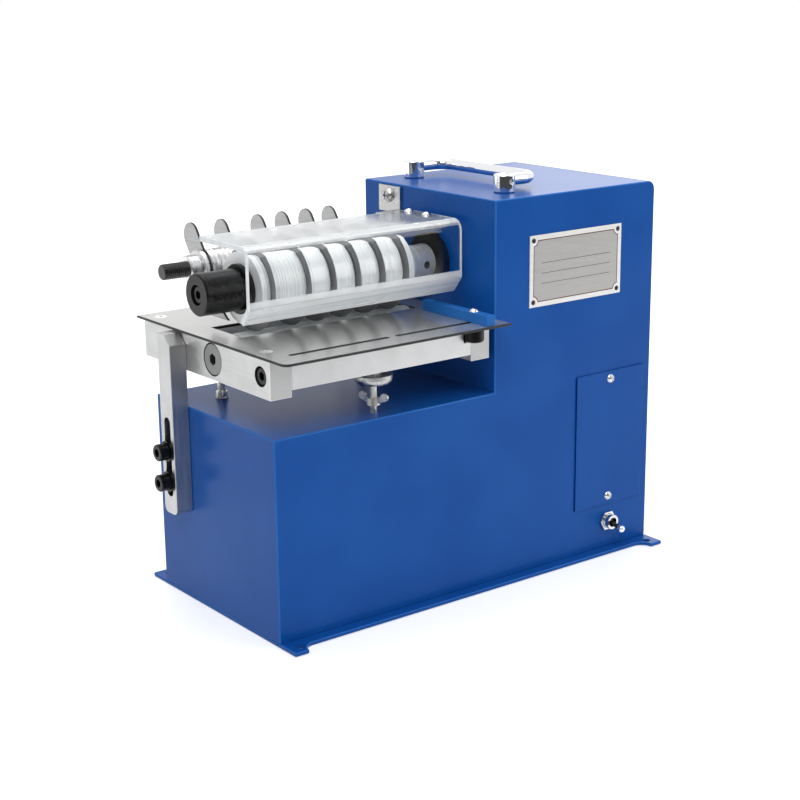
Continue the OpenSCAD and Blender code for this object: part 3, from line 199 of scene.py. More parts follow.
floor_shown = wired(floor_tree, "MixShader",
                    {0: floor_mirrored.outputs[0], 1: floor_sum.outputs[0], 2: floor_room.outputs[0]})
floor_mix = wired(floor_tree, "MixShader",
                  {0: seen_directly(floor_tree), 1: floor_body, 2: floor_shown.outputs[0]})
floor_tree.links.new(floor_mix.outputs[0], floor_tree.nodes["Material Output"].inputs["Surface"])


# Housing and foot plate: folded sheet steel with a welded foot plate, sprayed in satin blue powder coat.
# The bends are tight, and every edge carries a thin pale line: mostly a painted highlight, partly the coat
# stretched thin.
usual_grain = (0.3, 0.7)


def grain(material, cells, detail=3.0):
    """Noise from nought to one over the piece, with so many cells per metre, all round or along each axis."""
    tree = material.node_tree
    place = wired(tree, "TexCoord", {})
    feeds = {"Vector": place.outputs["Object"], "Scale": np.broadcast_to(cells, 3).tolist()}
    scaled = wired(tree, "Mapping", feeds)
    noise = wired(tree, "TexNoise", {"Vector": scaled.outputs["Vector"], "Scale": 1.0, "Detail": detail})
    return noise.outputs["Fac"]


def spread(material, value, socket, low, high, edges=usual_grain):
    """Sets a shader value between low and high as the grain goes from one edge of its range to the other."""
    tree = material.node_tree
    tree.links.new(ranged(tree, value, *edges, low, high), tree.nodes["Principled BSDF"].inputs[socket])


def two_tone(tree, value, dark, light, edges, blend):
    """The colour that goes from dark to light as a value goes from one edge to the other."""
    ramp = wired(tree, "ValToRGB", {"Fac": value})
    ramp.color_ramp.interpolation = blend
    for stop, position, colour in zip(ramp.color_ramp.elements, edges, (dark, light)):
        stop.position = position
        stop.color = (*colour, 1.0)
    return ramp.outputs["Color"]


def shade(material, value, dark, light, edges=usual_grain):
    """Colours the surface from dark to light as the grain goes from one edge of its range to the other."""
    tree = material.node_tree
    colour = two_tone(tree, value, dark, light, edges, "EASE")
    tree.links.new(colour, tree.nodes["Principled BSDF"].inputs["Base Color"])


def emboss(material, value, strength, depth):
    """Raises the surface by the grain, up to a depth in metres."""
    tree = material.node_tree
    bump = wired(tree, "Bump", {"Strength": strength, "Distance": depth, "Height": value})
    tree.links.new(bump.outputs["Normal"], tree.nodes["Principled BSDF"].inputs["Normal"])


def blue_coat(name, dark, light):
    """Satin powder coat: slow drifts of colour and gloss, and a fine orange-peel skin."""
    coat = finish(name, light, metallic=0.0, roughness=0.3)
    coat.node_tree.nodes["Principled BSDF"].inputs["Specular IOR Level"].default_value = 0.14
    shade(coat, grain(coat, 14.0, detail=4.0), dark, light)
    spread(coat, grain(coat, 7.0, detail=0.0), "Roughness", 0.28, 0.3, edges=(0.2, 0.8))
    emboss(coat, grain(coat, 700.0, detail=1.0), strength=0.02, depth=0.00003)
    return coat


# Corners closer than the gap are one corner. Angles are in radians: faces that meet at less than the flat
# angle are one face, at more than the curve angle a curve, and at more than the crease an edge. Sheets and
# bars have only those edges rounded that are part of a long run, in metres.
merge_gap = 2e-6
flat_angle = 0.002
curve_angle = 0.01
crease = 0.52
long_run = 0.03
first, second, third = range(3)


def merged(node, cuts):
    """A solid's loose triangles joined into whole flat faces, which are split at the heights in cuts."""
    work = bmesh.new()
    work.from_mesh(nodes[node].data)
    bmesh.ops.remove_doubles(work, verts=work.verts, dist=merge_gap)
    bmesh.ops.dissolve_limit(work, angle_limit=flat_angle, verts=work.verts, edges=work.edges)
    for height in cuts:
        whole = work.verts[:] + work.edges[:] + work.faces[:]
        bmesh.ops.bisect_plane(work, geom=whole, plane_co=(0.0, 0.0, height), plane_no=(0.0, 0.0, 1.0))
    work.verts.index_update()
    return work


def sharp_edges(work, least):
    """The edges sharper than a crease, as pairs of corner numbers: those to round, and those to leave crisp.

    Outward edges are rounded where the run that they belong to is longer than least along some axis."""
    sharp = {edge for edge in work.edges if edge.is_manifold and edge.calc_face_angle() > crease}
    crisp = {tuple(sorted(vert.index for vert in edge.verts)) for edge in sharp}
    loose = {edge for edge in sharp if edge.is_convex}
    eased = set()
    while loose:
        run, ahead = [], [loose.pop()]
        while ahead:
            edge = ahead.pop()
            run.append(edge)
            beside = {other for vert in edge.verts for other in vert.link_edges} & loose
            loose -= beside
            ahead += beside
        if np.ptp([vert.co[:] for edge in run for vert in edge.verts], axis=0).max() > least:
            eased |= {tuple(sorted(vert.index for vert in edge.verts)) for edge in run}
    return eased, crisp - eased


def rounded_copy(node, body, width, steps, finishes, sort=None, cuts=(), least=0.0):
    """A merged copy of a solid, split at the heights in cuts, whose long outward edges are rounded.

    Where there are more finishes, the edges take the second. Then sort tells each face's finish, by its
    number in the list, from the arrays of face normals and face centres."""
    work = merged(node, cuts)
    eased, crisp = sharp_edges(work, least)
    corners = [vert.co[:] for vert in work.verts]
    faces = [[vert.index for vert in face.verts] for face in work.faces]
    curved = [any(curve_angle < edge.calc_face_angle(0.0) < crease for edge in face.edges)
              for face in work.faces]
    work.free()
    mesh = bpy.data.meshes.new(node + "_finished")
    mesh.from_pydata(corners, [], faces)
    for material in finishes:
        mesh.materials.append(material)
    if sort:
        normals, centres = np.empty(3 * len(faces)), np.empty(3 * len(faces))
        mesh.polygons.foreach_get("normal", normals)
        mesh.polygons.foreach_get("center", centres)
        numbers = sort(normals.reshape(-1, 3), centres.reshape(-1, 3))
        mesh.polygons.foreach_set("material_index", numbers.astype(np.int32))
    mesh.polygons.foreach_set("use_smooth", curved)
    ends = np.empty(2 * len(mesh.edges), np.int32)
    mesh.edges.foreach_get("vertices", ends)
    pairs = [tuple(sorted(pair)) for pair in ends.reshape(-1, 2).tolist()]
    for label, kind, chosen in (("bevel_weight_edge", "FLOAT", eased), ("sharp_edge", "BOOLEAN", crisp)):
        marks = mesh.attributes.new(label, kind, "EDGE")
        marks.data.foreach_set("value", [pair in chosen for pair in pairs])
    piece = bpy.data.objects.new(mesh.name, mesh)
    bpy.context.scene.collection.objects.link(piece)
    ease = piece.modifiers.new("eased_edges", "BEVEL")
    ease.width = width
    ease.segments = steps
    ease.limit_method = "WEIGHT"
    ease.use_clamp_overlap = False
    ease.loop_slide = False
    ease.harden_normals = True
    ease.miter_outer = "MITER_ARC"
    if len(finishes) > 1:
        ease.material = second
    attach(piece, body)
    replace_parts(piece, node)
    return piece


blue_paint = blue_coat("blue_powder_coat", (0.003, 0.074, 0.335), (0.006, 0.088, 0.37))
# The lighter coat on the rounded edges is a painted highlight.
blue_edge_highlight = blue_coat("blue_coat_edge_highlight", (0.016, 0.128, 0.45), (0.03, 0.16, 0.52))
for node, width in (("foot_plate", 0.0006), ("body_shell", 0.001)):
    rounded_copy(node, "frame", width, 3, [blue_paint, blue_edge_highlight], least=long_run)


# Rear cover: a flat sheet of steel that closes the back of the housing, coated in the same blue.
# Zinc-plated cross-slotted screws hold it to the housing's flanges.
def toned(colour, share):
    """A colour at a share of its brightness."""
    return tuple(share * part for part in colour)


def plated(name, colour, roughness):
    """Bright zinc plate: a faint cloudiness, hairlines from handling and a soft sheen."""
    zinc = finish(name, colour, metallic=1.0, roughness=roughness)
    shade(zinc, grain(zinc, 180.0), toned(colour, 0.93), colour)
    spread(zinc, grain(zinc, 420.0), "Roughness", roughness * 0.7, roughness * 1.4)
    emboss(zinc, grain(zinc, 1500.0, detail=2.0), strength=0.02, depth=0.00003)
    return zinc


def clothe(material, *solids):
    """Gives solids their finish."""
    for solid in solids:
        mesh = nodes[solid].data
        mesh.materials.clear()
        mesh.materials.append(material)


cover_ease = 0.0004
cover_piece = rounded_copy("rear_cover", "frame", cover_ease, 2, [blue_paint, blue_edge_highlight], least=long_run)
zinc_plate = plated("zinc_plate", (0.74, 0.75, 0.77), roughness=0.22)
clothe(zinc_plate, "rear_cover_screws")


# Access panel: a thin steel plate over the wiring, low on the upright's front, in the housing's blue.
# A zinc-plated screw above and another below hold it, and its left rim is near-black blue as painted shade in
# the gap.
painted_shade_blue = blue_coat("blue_coat_painted_gap_shade", (0.001, 0.008, 0.06), (0.002, 0.012, 0.075))
facing = 0.9  # a face looks along an axis where its normal has a larger share of it than this
panel_ease = 0.0003


def panel_faces(normals, centres):
    """Painted like the housing, and dark on the rim that looks to the left as painted shade."""
    return np.where(normals[:, 0] < -facing, third, first)


panel_piece = rounded_copy("access_panel", "frame", panel_ease, 2, [blue_paint, blue_paint, painted_shade_blue],
                           panel_faces, least=long_run)
clothe(zinc_plate, "panel_screws")


# Nameplate: a blank plate of brushed aluminium on the upright's front, held by four dark rivets.
# Its printed border steps in round the rivets, and three thin rules cross the darker field inside.
plate_low, plate_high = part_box("nameplate")
plate_mid = (plate_low + plate_high) / 2
half_w, half_h = (plate_high.x - plate_low.x) / 2, (plate_high.z - plate_low.z) / 2
border_inset, border_half = 0.0042, 0.0004
notch_r, notch_out = 0.0052, 0.0008
rule_heights = (0.006, -0.002, -0.010)
rule_margin, rule_half = 0.012, 0.00022
plate_ease = 0.00025
border_brown = (0.16, 0.075, 0.05, 1.0)
rule_grey = (0.12, 0.115, 0.11, 1.0)


def ruled_plate(name):
    """Brushed plate with a printed border round a darker field, and blank rules across it.

    The border runs where the larger of two distances is nought: how far a point lies past the inset rim, and
    how far it lies inside the round notch at the nearest corner. A rule runs along each height, short of
    the sides."""
    plate = finish(name, (0.62, 0.61, 0.59), metallic=0.6, roughness=0.4)
    tree = plate.node_tree

    def sum_of(operation, *values):
        """One sum on this plate's values."""
        return reckon(tree, operation, *values)

    def layer(mask, under, over):
        """The colour over where the mask is one, and the colour under elsewhere."""
        return wired(tree, "Mix", {0: mask, 6: under, 7: over}, data_type="RGBA").outputs[2]

    place = wired(tree, "TexCoord", {})
    centred = wired(tree, "Mapping", {"Vector": place.outputs["Object"], "Location": tuple(-plate_mid)})
    parts = wired(tree, "SeparateXYZ", {"Vector": centred.outputs["Vector"]})
    across = sum_of("ABSOLUTE", parts.outputs["X"])
    height = sum_of("ABSOLUTE", parts.outputs["Z"])
    rim_x = sum_of("SUBTRACT", across, half_w - border_inset)
    rim_z = sum_of("SUBTRACT", height, half_h - border_inset)
    corner_x = sum_of("SUBTRACT", across, half_w - border_inset + notch_out)
    corner_z = sum_of("SUBTRACT", height, half_h - border_inset + notch_out)
    squares = sum_of("ADD", sum_of("MULTIPLY", corner_x, corner_x), sum_of("MULTIPLY", corner_z, corner_z))
    in_notch = sum_of("SUBTRACT", notch_r, sum_of("SQRT", squares))
    outline = sum_of("MAXIMUM", sum_of("MAXIMUM", rim_x, rim_z), in_notch)
    printed = sum_of("LESS_THAN", sum_of("ABSOLUTE", outline), border_half)
    field = sum_of("LESS_THAN", outline, 0.0)
    cloud = grain(plate, (90.0, 90.0, 900.0))
    rim_metal = two_tone(tree, cloud, (0.8, 0.79, 0.77), (0.88, 0.87, 0.85), usual_grain, "LINEAR")
    field_metal = two_tone(tree, cloud, (0.44, 0.43, 0.42), (0.5, 0.49, 0.47), usual_grain, "LINEAR")
    colour = layer(field, rim_metal, field_metal)
    colour = layer(printed, colour, border_brown)
    short = sum_of("LESS_THAN", across, half_w - rule_margin)
    for rule_z in rule_heights:
        off_rule = sum_of("ABSOLUTE", sum_of("SUBTRACT", parts.outputs["Z"], rule_z))
        near = sum_of("LESS_THAN", off_rule, rule_half)
        colour = layer(sum_of("MULTIPLY", near, short), colour, rule_grey)
    tree.links.new(colour, tree.nodes["Principled BSDF"].inputs["Base Color"])
    spread(plate, cloud, "Roughness", 0.34, 0.5)
    return plate


plate_print = ruled_plate("nameplate_print")
rounded_copy("nameplate", "frame", plate_ease, 2, [plate_print])
clothe(plated("dark_rivet", (0.06, 0.06, 0.065), roughness=0.35), "nameplate_rivets")


# Carrying handle: a chromed bail of round steel bar, hinged on pins in two chromed posts.
# The posts stand on top of the upright, each in a thin ring of the black rubber finish that stands for the
# shadow at the post's foot: painted shade.
chrome = finish("mirror_chrome", (0.86, 0.87, 0.89), metallic=1.0, roughness=0.06)
spread(chrome, grain(chrome, 240.0), "Roughness", 0.04, 0.11)
emboss(chrome, grain(chrome, 130.0, detail=1.0), strength=0.05, depth=0.0002)
post_ease = 0.0003
rounded_copy("handle_posts", "frame", post_ease, 2, [chrome])
clothe(zinc_plate, "handle_pins")
clothe(chrome, "handle_bail")
rubber = finish("black_rubber", (0.022, 0.022, 0.022), metallic=0.0, roughness=0.75)
shade(rubber, grain(rubber, 90.0), (0.016, 0.016, 0.016), (0.032, 0.032, 0.032))
emboss(rubber, grain(rubber, 600.0), strength=0.2, depth=0.0002)


def spun(name, origin, axes, reach, height, capped=False):
    """Carries an outline round an axis, as a closed ring or as a bar with flat ends.

    Each point stands at the origin plus its reach times a direction that turns from the first axis to the
    second, plus its height along the third. Reach has a row for each point of the outline and a column for
    each step of the turn."""
    turn = np.linspace(0.0, 2 * np.pi, reach.shape[1], endpoint=False)
    side, up, ahead = np.array(axes)
    ring = np.cos(turn)[:, None] * side + np.sin(turn)[:, None] * up
    points = np.array(origin) + reach[:, :, None] * ring + height[:, None, None] * ahead
    return sheet_mesh(name, points, columns_joined=True, rows_joined=not capped, capped=capped)


smooth_below = 0.7


def added(mesh, body, material):
    """Puts a new piece on a body, smooth except where its faces meet at a sharp angle."""
    mesh.polygons.foreach_set("use_smooth", np.ones(len(mesh.polygons), bool))
    mesh.set_sharp_from_angle(angle=smooth_below)
    mesh.materials.append(material)
    piece = bpy.data.objects.new(mesh.name, mesh)
    bpy.context.scene.collection.objects.link(piece)
    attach(piece, body)
    return piece


posts_low, posts_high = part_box("handle_posts")
post_r = (posts_high.x - posts_low.x) / 2
# The black rings at the posts' feet are painted shade, put where only the shadow falls.
shadow_ring_w, shadow_ring_h = 0.0007, 0.001
shadow_ring_chamfer, shadow_ring_fit = 0.0003, 0.00002
shadow_ring_steps = 48
shadow_ring_out = np.array([shadow_ring_w, shadow_ring_w, shadow_ring_w - shadow_ring_chamfer, shadow_ring_fit, shadow_ring_fit])
shadow_ring_up = np.array([0.0, shadow_ring_h - shadow_ring_chamfer, shadow_ring_h, shadow_ring_h, 0.0])
shadow_ring_reach = np.tile((post_r + shadow_ring_out)[:, None], shadow_ring_steps)
upright_axes = ((1.0, 0.0, 0.0), (0.0, 1.0, 0.0), (0.0, 0.0, 1.0))
post_places = {"front_post_shadow_ring": posts_low.y + post_r, "back_post_shadow_ring": posts_high.y - post_r}
for shadow_ring, post_y in post_places.items():
    post_foot = (posts_low.x + post_r, post_y, posts_low.z)
    shadow_ring_mesh = spun(shadow_ring, post_foot, upright_axes, shadow_ring_reach, shadow_ring_up)
    added(shadow_ring_mesh, "frame", rubber)


# Toggle switch: a nickel-plated bush through the front sheet, held by a hex nut.
# The bat lever in it is black on its stem and chromed at its ball tip.
nickel = plated("nickel_plate", (0.72, 0.72, 0.73), roughness=0.16)
nut_ease, lever_ease = 0.0004, 0.0001
clothe(nickel, "switch_body")
rounded_copy("switch_nut", "frame", nut_ease, 2, [nickel])
tip_length = 0.0056
tip_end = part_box("switch_lever")[0].y + tip_length


def lever_faces(normals, centres):
    """Chromed at the tip, black on the stem."""
    return np.where(centres[:, 1] < tip_end, first, second)


black_stem = finish("black_stem", (0.012, 0.012, 0.013), metallic=0.0, roughness=0.3)
shade(black_stem, grain(black_stem, 300.0), (0.008, 0.008, 0.009), (0.018, 0.018, 0.019))
rounded_copy("switch_lever", "switch", lever_ease, 1, [chrome, black_stem], lever_faces)


# Shaft bearings: a black flanged bush on the side of the upright, and ball bearings that carry the shaft.
# Inside, a plate of steel in grey primer holds the far bearing.
def blackened(name, roughness, gloss):
    """Black oxide on steel: a faint cloudiness, with a gloss for how much of the room it mirrors."""
    black = finish(name, (0.006, 0.006, 0.0065), metallic=0.0, roughness=roughness)
    black.node_tree.nodes["Principled BSDF"].inputs["Specular IOR Level"].default_value = gloss
    shade(black, grain(black, 160.0), (0.004, 0.004, 0.0045), (0.009, 0.009, 0.0095))
    return black


black_oxide = blackened("black_oxide", roughness=0.24, gloss=0.22)
spread(black_oxide, grain(black_oxide, (500.0, 30.0, 30.0), detail=1.0), "Roughness", 0.22, 0.27)
emboss(black_oxide, grain(black_oxide, 1500.0, detail=1.0), strength=0.02, depth=0.00003)
grey_primer = finish("grey_primer", (0.2, 0.21, 0.22), metallic=0.0, roughness=0.55)
shade(grey_primer, grain(grey_primer, 40.0), (0.16, 0.17, 0.18), (0.25, 0.26, 0.27))
emboss(grey_primer, grain(grey_primer, 700.0, detail=2.0), strength=0.12, depth=0.0001)
dull_black = blackened("dull_black", roughness=0.5, gloss=0.12)
flange_ease = 0.0003
rounded_copy("bearing_flange", "frame", flange_ease, 2, [dull_black])
clothe(zinc_plate, "shaft_bearings")
clothe(grey_primer, "bearing_plate")


# Knife roll: six ground disc knives on a steel shaft, held apart by turned aluminium spacers and stacks of
# thin rings, all clamped by a black cap and its socket screw.
def turned(name, colour, roughness, lines, tone=0.8, metallic=1.0):
    """Lathe-turned metal: so many rings per metre of the axle, from tone times the colour up to the colour.

    Across the axle the noise hardly changes, so that a ring keeps its tone all the way round."""
    across, finer = 0.4, 2.2
    metal = finish(name, colour, metallic, roughness)
    rings = grain(metal, (lines, across, across), detail=2.0)
    shade(metal, rings, toned(colour, tone), colour)
    spread(metal, rings, "Roughness", roughness * 0.75, roughness * 1.3)
    emboss(metal, grain(metal, (lines * finer, across, across), detail=1.0), strength=0.03, depth=0.00004)
    return metal


spacer_metal = turned("turned_aluminium", (0.96, 0.965, 0.97), 0.3, lines=260.0, tone=0.95, metallic=0.3)
ring_metal = turned("turned_rings", (0.95, 0.955, 0.96), 0.32, lines=800.0, tone=0.82, metallic=0.3)
knife_steel = turned("ground_knife_steel", (0.22, 0.22, 0.225), 0.36, lines=300.0, tone=0.85, metallic=0.6)
shaft_steel = turned("shaft_steel", (0.62, 0.63, 0.64), 0.25, lines=700.0)
collar_steel = turned("collar_steel", (0.74, 0.75, 0.76), 0.26, lines=200.0, tone=0.9, metallic=0.5)
clothe(shaft_steel, "knife_shaft")
clothe(knife_steel, "knives")
clothe(ring_metal, "ring_spacers")
clothe(spacer_metal, "knife_spacers", "shaft_pulley")
clothe(black_oxide, "clamp_washer", "end_cap", "end_screw", "collar_screw")
clothe(collar_steel, "shaft_collar")


# Drive: a gear motor in grey primer, low in the upright, turns the knife shaft.
# A flat rubber belt runs from the turned aluminium pulley on its shaft up to the one on the knife shaft.
clothe(grey_primer, "gear_motor")
clothe(shaft_steel, "motor_shaft")
clothe(spacer_metal, "motor_pulley")
clothe(rubber, "drive_belt")


# Stripper: six flat steel fingers on a black threaded rod, which keep the straps from following the roll.
# Stacks of turned steel rings hold the fingers apart, and clamp nuts draw the stacks tight.
finger_steel = finish("brushed_finger_steel", (0.4, 0.4, 0.4), metallic=1.0, roughness=0.4)
shade(finger_steel, grain(finger_steel, (30.0, 60.0, 900.0)), (0.37, 0.37, 0.37), (0.43, 0.43, 0.43))
spread(finger_steel, grain(finger_steel, (50.0, 60.0, 1200.0)), "Roughness", 0.36, 0.46)
# A near-black finish for cut faces, rims and bores: painted shade and painted dark reflection.
painted_dark_edge = finish("cut_edge_painted_shade", (0.012, 0.012, 0.012), metallic=0.0, roughness=0.5)
shade(painted_dark_edge, grain(painted_dark_edge, 300.0), (0.008, 0.008, 0.008), (0.018, 0.018, 0.018))
emboss(painted_dark_edge, grain(painted_dark_edge, (200.0, 200.0, 2000.0)), strength=0.15, depth=0.0001)

rod_low, rod_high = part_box("stripper_rod")
rod_r = (rod_high.y - rod_low.y) / 2
rod_y, rod_z = rod_low.y + rod_r, rod_low.z + rod_r
rod_axes = ((0.0, 1.0, 0.0), (0.0, 0.0, 1.0), (1.0, 0.0, 0.0))
thread_pitch, thread_depth = 0.00175, 0.0008
thread_under_nut = 0.002
thread_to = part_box("stripper_nuts")[0].x - rod_low.x + thread_under_nut


def threaded_rod(name, length):
    """A round bar along the rod's axis, flat at both ends, that starts with a thread.

    At each height and angle the radius falls by the depth times a raised cosine of the height over the pitch
    less the angle in turns. The dip fades in over the first pitch and out over the last, and the ends are
    chamfered."""
    steps, rows_per_pitch, plain_rows = 40, 12, 4
    turns = np.arange(steps) / steps
    height = np.linspace(0.0, thread_to, int(rows_per_pitch * thread_to / thread_pitch))
    height = np.append(height, np.linspace(thread_to, length, plain_rows)[1:])
    fade = np.clip(np.minimum(height, thread_to - height) / thread_pitch, 0.0, 1.0)[:, None]
    wave = 0.5 - 0.5 * np.cos(2 * np.pi * (height[:, None] / thread_pitch - turns))
    chamfer = np.clip(thread_depth - np.minimum(height, length - height), 0.0, thread_depth)[:, None]
    reach = rod_r - np.maximum(chamfer, thread_depth * fade * wave)
    return spun(name, (rod_low.x, rod_y, rod_z), rod_axes, reach, height, capped=True)


black_thread = finish("oiled_black_thread", (0.014, 0.014, 0.015), metallic=0.0, roughness=0.3)
shade(black_thread, grain(black_thread, 160.0), (0.01, 0.01, 0.011), (0.02, 0.02, 0.021))
spread(black_thread, grain(black_thread, 300.0), "Roughness", 0.24, 0.36)
rod_skin = threaded_rod("stripper_rod_threaded", rod_high.x - rod_low.x)
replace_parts(added(rod_skin, "frame", black_thread), "stripper_rod")

spacers_low, spacers_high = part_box("stripper_spacers")
finger_mesh = nodes["stripper_fingers"].data
finger_points = np.empty(3 * len(finger_mesh.vertices))
finger_mesh.vertices.foreach_get("co", finger_points)
finger_sides = np.unique(finger_points[::3].round(5))
stacks = np.concatenate([[spacers_low.x], finger_sides, [spacers_high.x]]).reshape(-1, 2)
ring_w, groove_w, groove_d = 0.0042, 0.0004, 0.0009
sleeve_gap, bore_gap = 0.00004, 0.00001


def ring_stacks(name):
    """Rings threaded on the rod: one outline of reach over length, turned about the rod's axis.

    In each stack the outline stands at the tube's radius and dips by the groove's depth at every ring's ends.
    Between the stacks, where a finger sits, it drops to a thin sleeve on the rod, and it comes back along the
    bore."""
    steps = 64
    tube_r = (spacers_high.z - spacers_low.z) / 2
    groove_r, sleeve_r, bore_r = tube_r - groove_d, rod_r + sleeve_gap, rod_r + bore_gap
    along, reach = [], []
    for start, end in stacks:
        marks = np.linspace(start, end, max(1, round((end - start) / ring_w)) + 1)
        rings = np.stack([marks[:-1], marks[:-1] + groove_w, marks[1:] - groove_w], axis=1)
        along += [[start], rings.ravel(), [end, end]]
        reach += [[sleeve_r], np.tile([groove_r, tube_r, tube_r], len(rings)), [groove_r, sleeve_r]]
    along = np.concatenate(along + [[stacks[-1, 1], stacks[0, 0]]])
    reach = np.concatenate(reach + [[bore_r, bore_r]])
    return spun(name, (0.0, rod_y, rod_z), rod_axes, np.tile(reach[:, None], steps), along)


def finger_faces(normals, centres):
    """Brushed on the two flat sides, and near-black round the rim as painted shade."""
    return np.where(np.abs(normals[:, 0]) > facing, first, second)


ring_steel = turned("stacked_ring_steel", (0.86, 0.86, 0.87), 0.3, lines=420.0, tone=0.68)
ring_piece = added(ring_stacks("stripper_ring_stacks"), "frame", ring_steel)
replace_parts(ring_piece, "stripper_spacers")
clothe(ring_steel, "stripper_nuts")
finger_ease = 0.0002
finger_piece = rounded_copy("stripper_fingers", "frame", finger_ease, 1, [finger_steel, painted_dark_edge],
                            finger_faces)


# Guard: one sheet of clear acrylic, bent twice, over the top and front of the roll.
# Two screws hold it on a steel bracket that is bolted to the upright.
acrylic_bending = 1.49


def acrylic_sheet(name, colour, roughness, clearness):
    """Acrylic that lets through a share of the light, from clear at one to white at nought."""
    sheet = finish(name, colour, 0.0, roughness)
    shader = sheet.node_tree.nodes["Principled BSDF"]
    shader.inputs["Transmission Weight"].default_value = clearness
    shader.inputs["IOR"].default_value = acrylic_bending
    return sheet


def shine_through(material, tint):
    """Lets the lamps shine through a sheet: its shadow gets the light, which each face tints a little."""
    tree = material.node_tree
    passed = wired(tree, "BsdfTransparent", {"Color": (*tint, 1.0)})
    path = wired(tree, "LightPath", {})
    body = tree.nodes["Principled BSDF"].outputs[0]
    mix = wired(tree, "MixShader", {0: path.outputs["Is Shadow Ray"], 1: body, 2: passed.outputs[0]})
    tree.links.new(mix.outputs[0], tree.nodes["Material Output"].inputs["Surface"])


acrylic = acrylic_sheet("clear_acrylic", (0.97, 0.985, 0.99), roughness=0.03, clearness=1.0)
acrylic.node_tree.nodes["Principled BSDF"].inputs["Specular IOR Level"].default_value = 0.3
spread(acrylic, grain(acrylic, 50.0), "Roughness", 0.015, 0.05)
emboss(acrylic, grain(acrylic, 35.0, detail=1.0), strength=0.02, depth=0.0004)
shine_through(acrylic, (0.96, 0.97, 0.97))
sawn_edge = finish("sawn_acrylic_edge", (0.86, 0.89, 0.9), metallic=0.0, roughness=0.35)
shade(sawn_edge, grain(sawn_edge, 200.0), (0.78, 0.82, 0.84), (0.92, 0.94, 0.95))
emboss(sawn_edge, grain(sawn_edge, 700.0), strength=0.1, depth=0.0001)
# The whitened band on the bend and the white streaks on the lip are painted highlights and reflections.
highlight_band = acrylic_sheet("acrylic_painted_highlight_band", (0.96, 0.97, 0.98), roughness=0.2, clearness=0.5)
shade(highlight_band, grain(highlight_band, (8.0, 60.0, 60.0)), (0.9, 0.92, 0.93), (0.97, 0.98, 0.98))
spread(highlight_band, grain(highlight_band, (20.0, 90.0, 90.0)), "Roughness", 0.14, 0.3)
scuffed = acrylic_sheet("scuffed_acrylic", (0.88, 0.9, 0.91), roughness=0.12, clearness=0.9)
shade(scuffed, grain(scuffed, 30.0), (0.8, 0.82, 0.83), (0.86, 0.87, 0.88))
spread(scuffed, grain(scuffed, (60.0, 25.0, 25.0)), "Roughness", 0.08, 0.18)
shine_through(scuffed, (0.92, 0.93, 0.93))
highlight_streaks = acrylic_sheet("acrylic_painted_highlight_streaks", (0.9, 0.93, 0.95), roughness=0.25, clearness=0.3)
shade(highlight_streaks, grain(highlight_streaks, (5.0, 160.0, 420.0)), (0.72, 0.78, 0.82), (0.98, 0.99, 1.0), edges=(0.36, 0.52))
spread(highlight_streaks, grain(highlight_streaks, (12.0, 90.0, 90.0)), "Roughness", 0.2, 0.32)

guard_low, guard_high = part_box("guard")
lip_h, highlight_band_h = 0.0125, 0.005
lip_top = guard_low.z + lip_h
highlight_band_top = lip_top + highlight_band_h
back_edge = guard_high.y - 0.0005
squarely, mostly = 0.999, 0.75
guard_ease, bracket_ease = 0.0004, 0.0003
guard_finishes = [acrylic, sawn_edge, highlight_band, scuffed, highlight_streaks]
clear_face, sawn_face, highlight_band_face, scuffed_face, highlight_streak_face = range(len(guard_finishes))


def guard_faces(normals, centres):
    """Clear in front, scuffed on top, sawn white on all cut ends, and whitened on the bend and just above the
    lip as a painted highlight.

    The lip itself is whitened in streaks along its length, a painted reflection."""
    along, front, up = np.abs(normals).T
    lip = centres[:, 2] < lip_top
    chosen = np.where(front > mostly, clear_face, highlight_band_face)
    chosen[up > squarely] = scuffed_face
    chosen[(front > squarely) & (centres[:, 2] < highlight_band_top)] = highlight_band_face
    chosen[lip] = np.where(normals[lip, 1] * normals[lip, 2] < 0.0, sawn_face, highlight_streak_face)
    chosen[(along > facing) | ((front > squarely) & (centres[:, 1] > back_edge))] = sawn_face
    return chosen


guard_piece = rounded_copy("guard", "frame", guard_ease, 2, guard_finishes, guard_faces, cuts=[highlight_band_top])
bracket_steel = plated("bracket_steel", (0.5, 0.5, 0.495), roughness=0.34)
rounded_copy("guard_bracket", "frame", bracket_ease, 2, [bracket_steel])
clothe(zinc_plate, "guard_screws")
clothe(bracket_steel, "bracket_bolt")


# Feed table: a plate of brushed stainless steel with a window for the anvil roller and two guide slots,
# held by countersunk screws on two milled arms.
stainless = finish("brushed_stainless", (0.76, 0.76, 0.75), metallic=0.8, roughness=0.24)
stainless.node_tree.nodes["Principled BSDF"].inputs["Specular Tint"].default_value = (0.8, 0.8, 0.8, 1.0)
brush_lines = grain(stainless, (30.0, 1400.0, 30.0), detail=2.0)
shade(stainless, grain(stainless, 12.0), (0.72, 0.72, 0.71), (0.8, 0.8, 0.79))
spread(stainless, brush_lines, "Roughness", 0.2, 0.26)
emboss(stainless, brush_lines, strength=0.01, depth=0.00003)
table_ease = 0.0009


def plate_faces(normals, centres):
    """Brushed on the two flat sides, and near-black on every cut face as painted shade."""
    return np.where(np.abs(normals[:, 2]) > facing, first, second)


table_finishes = [stainless, painted_dark_edge]
plate_piece = rounded_copy("table_plate", "table", table_ease, 2, table_finishes, plate_faces, least=long_run)
clothe(plated("pale_zinc_plate", (0.92, 0.92, 0.92), roughness=0.42), "plate_screws")


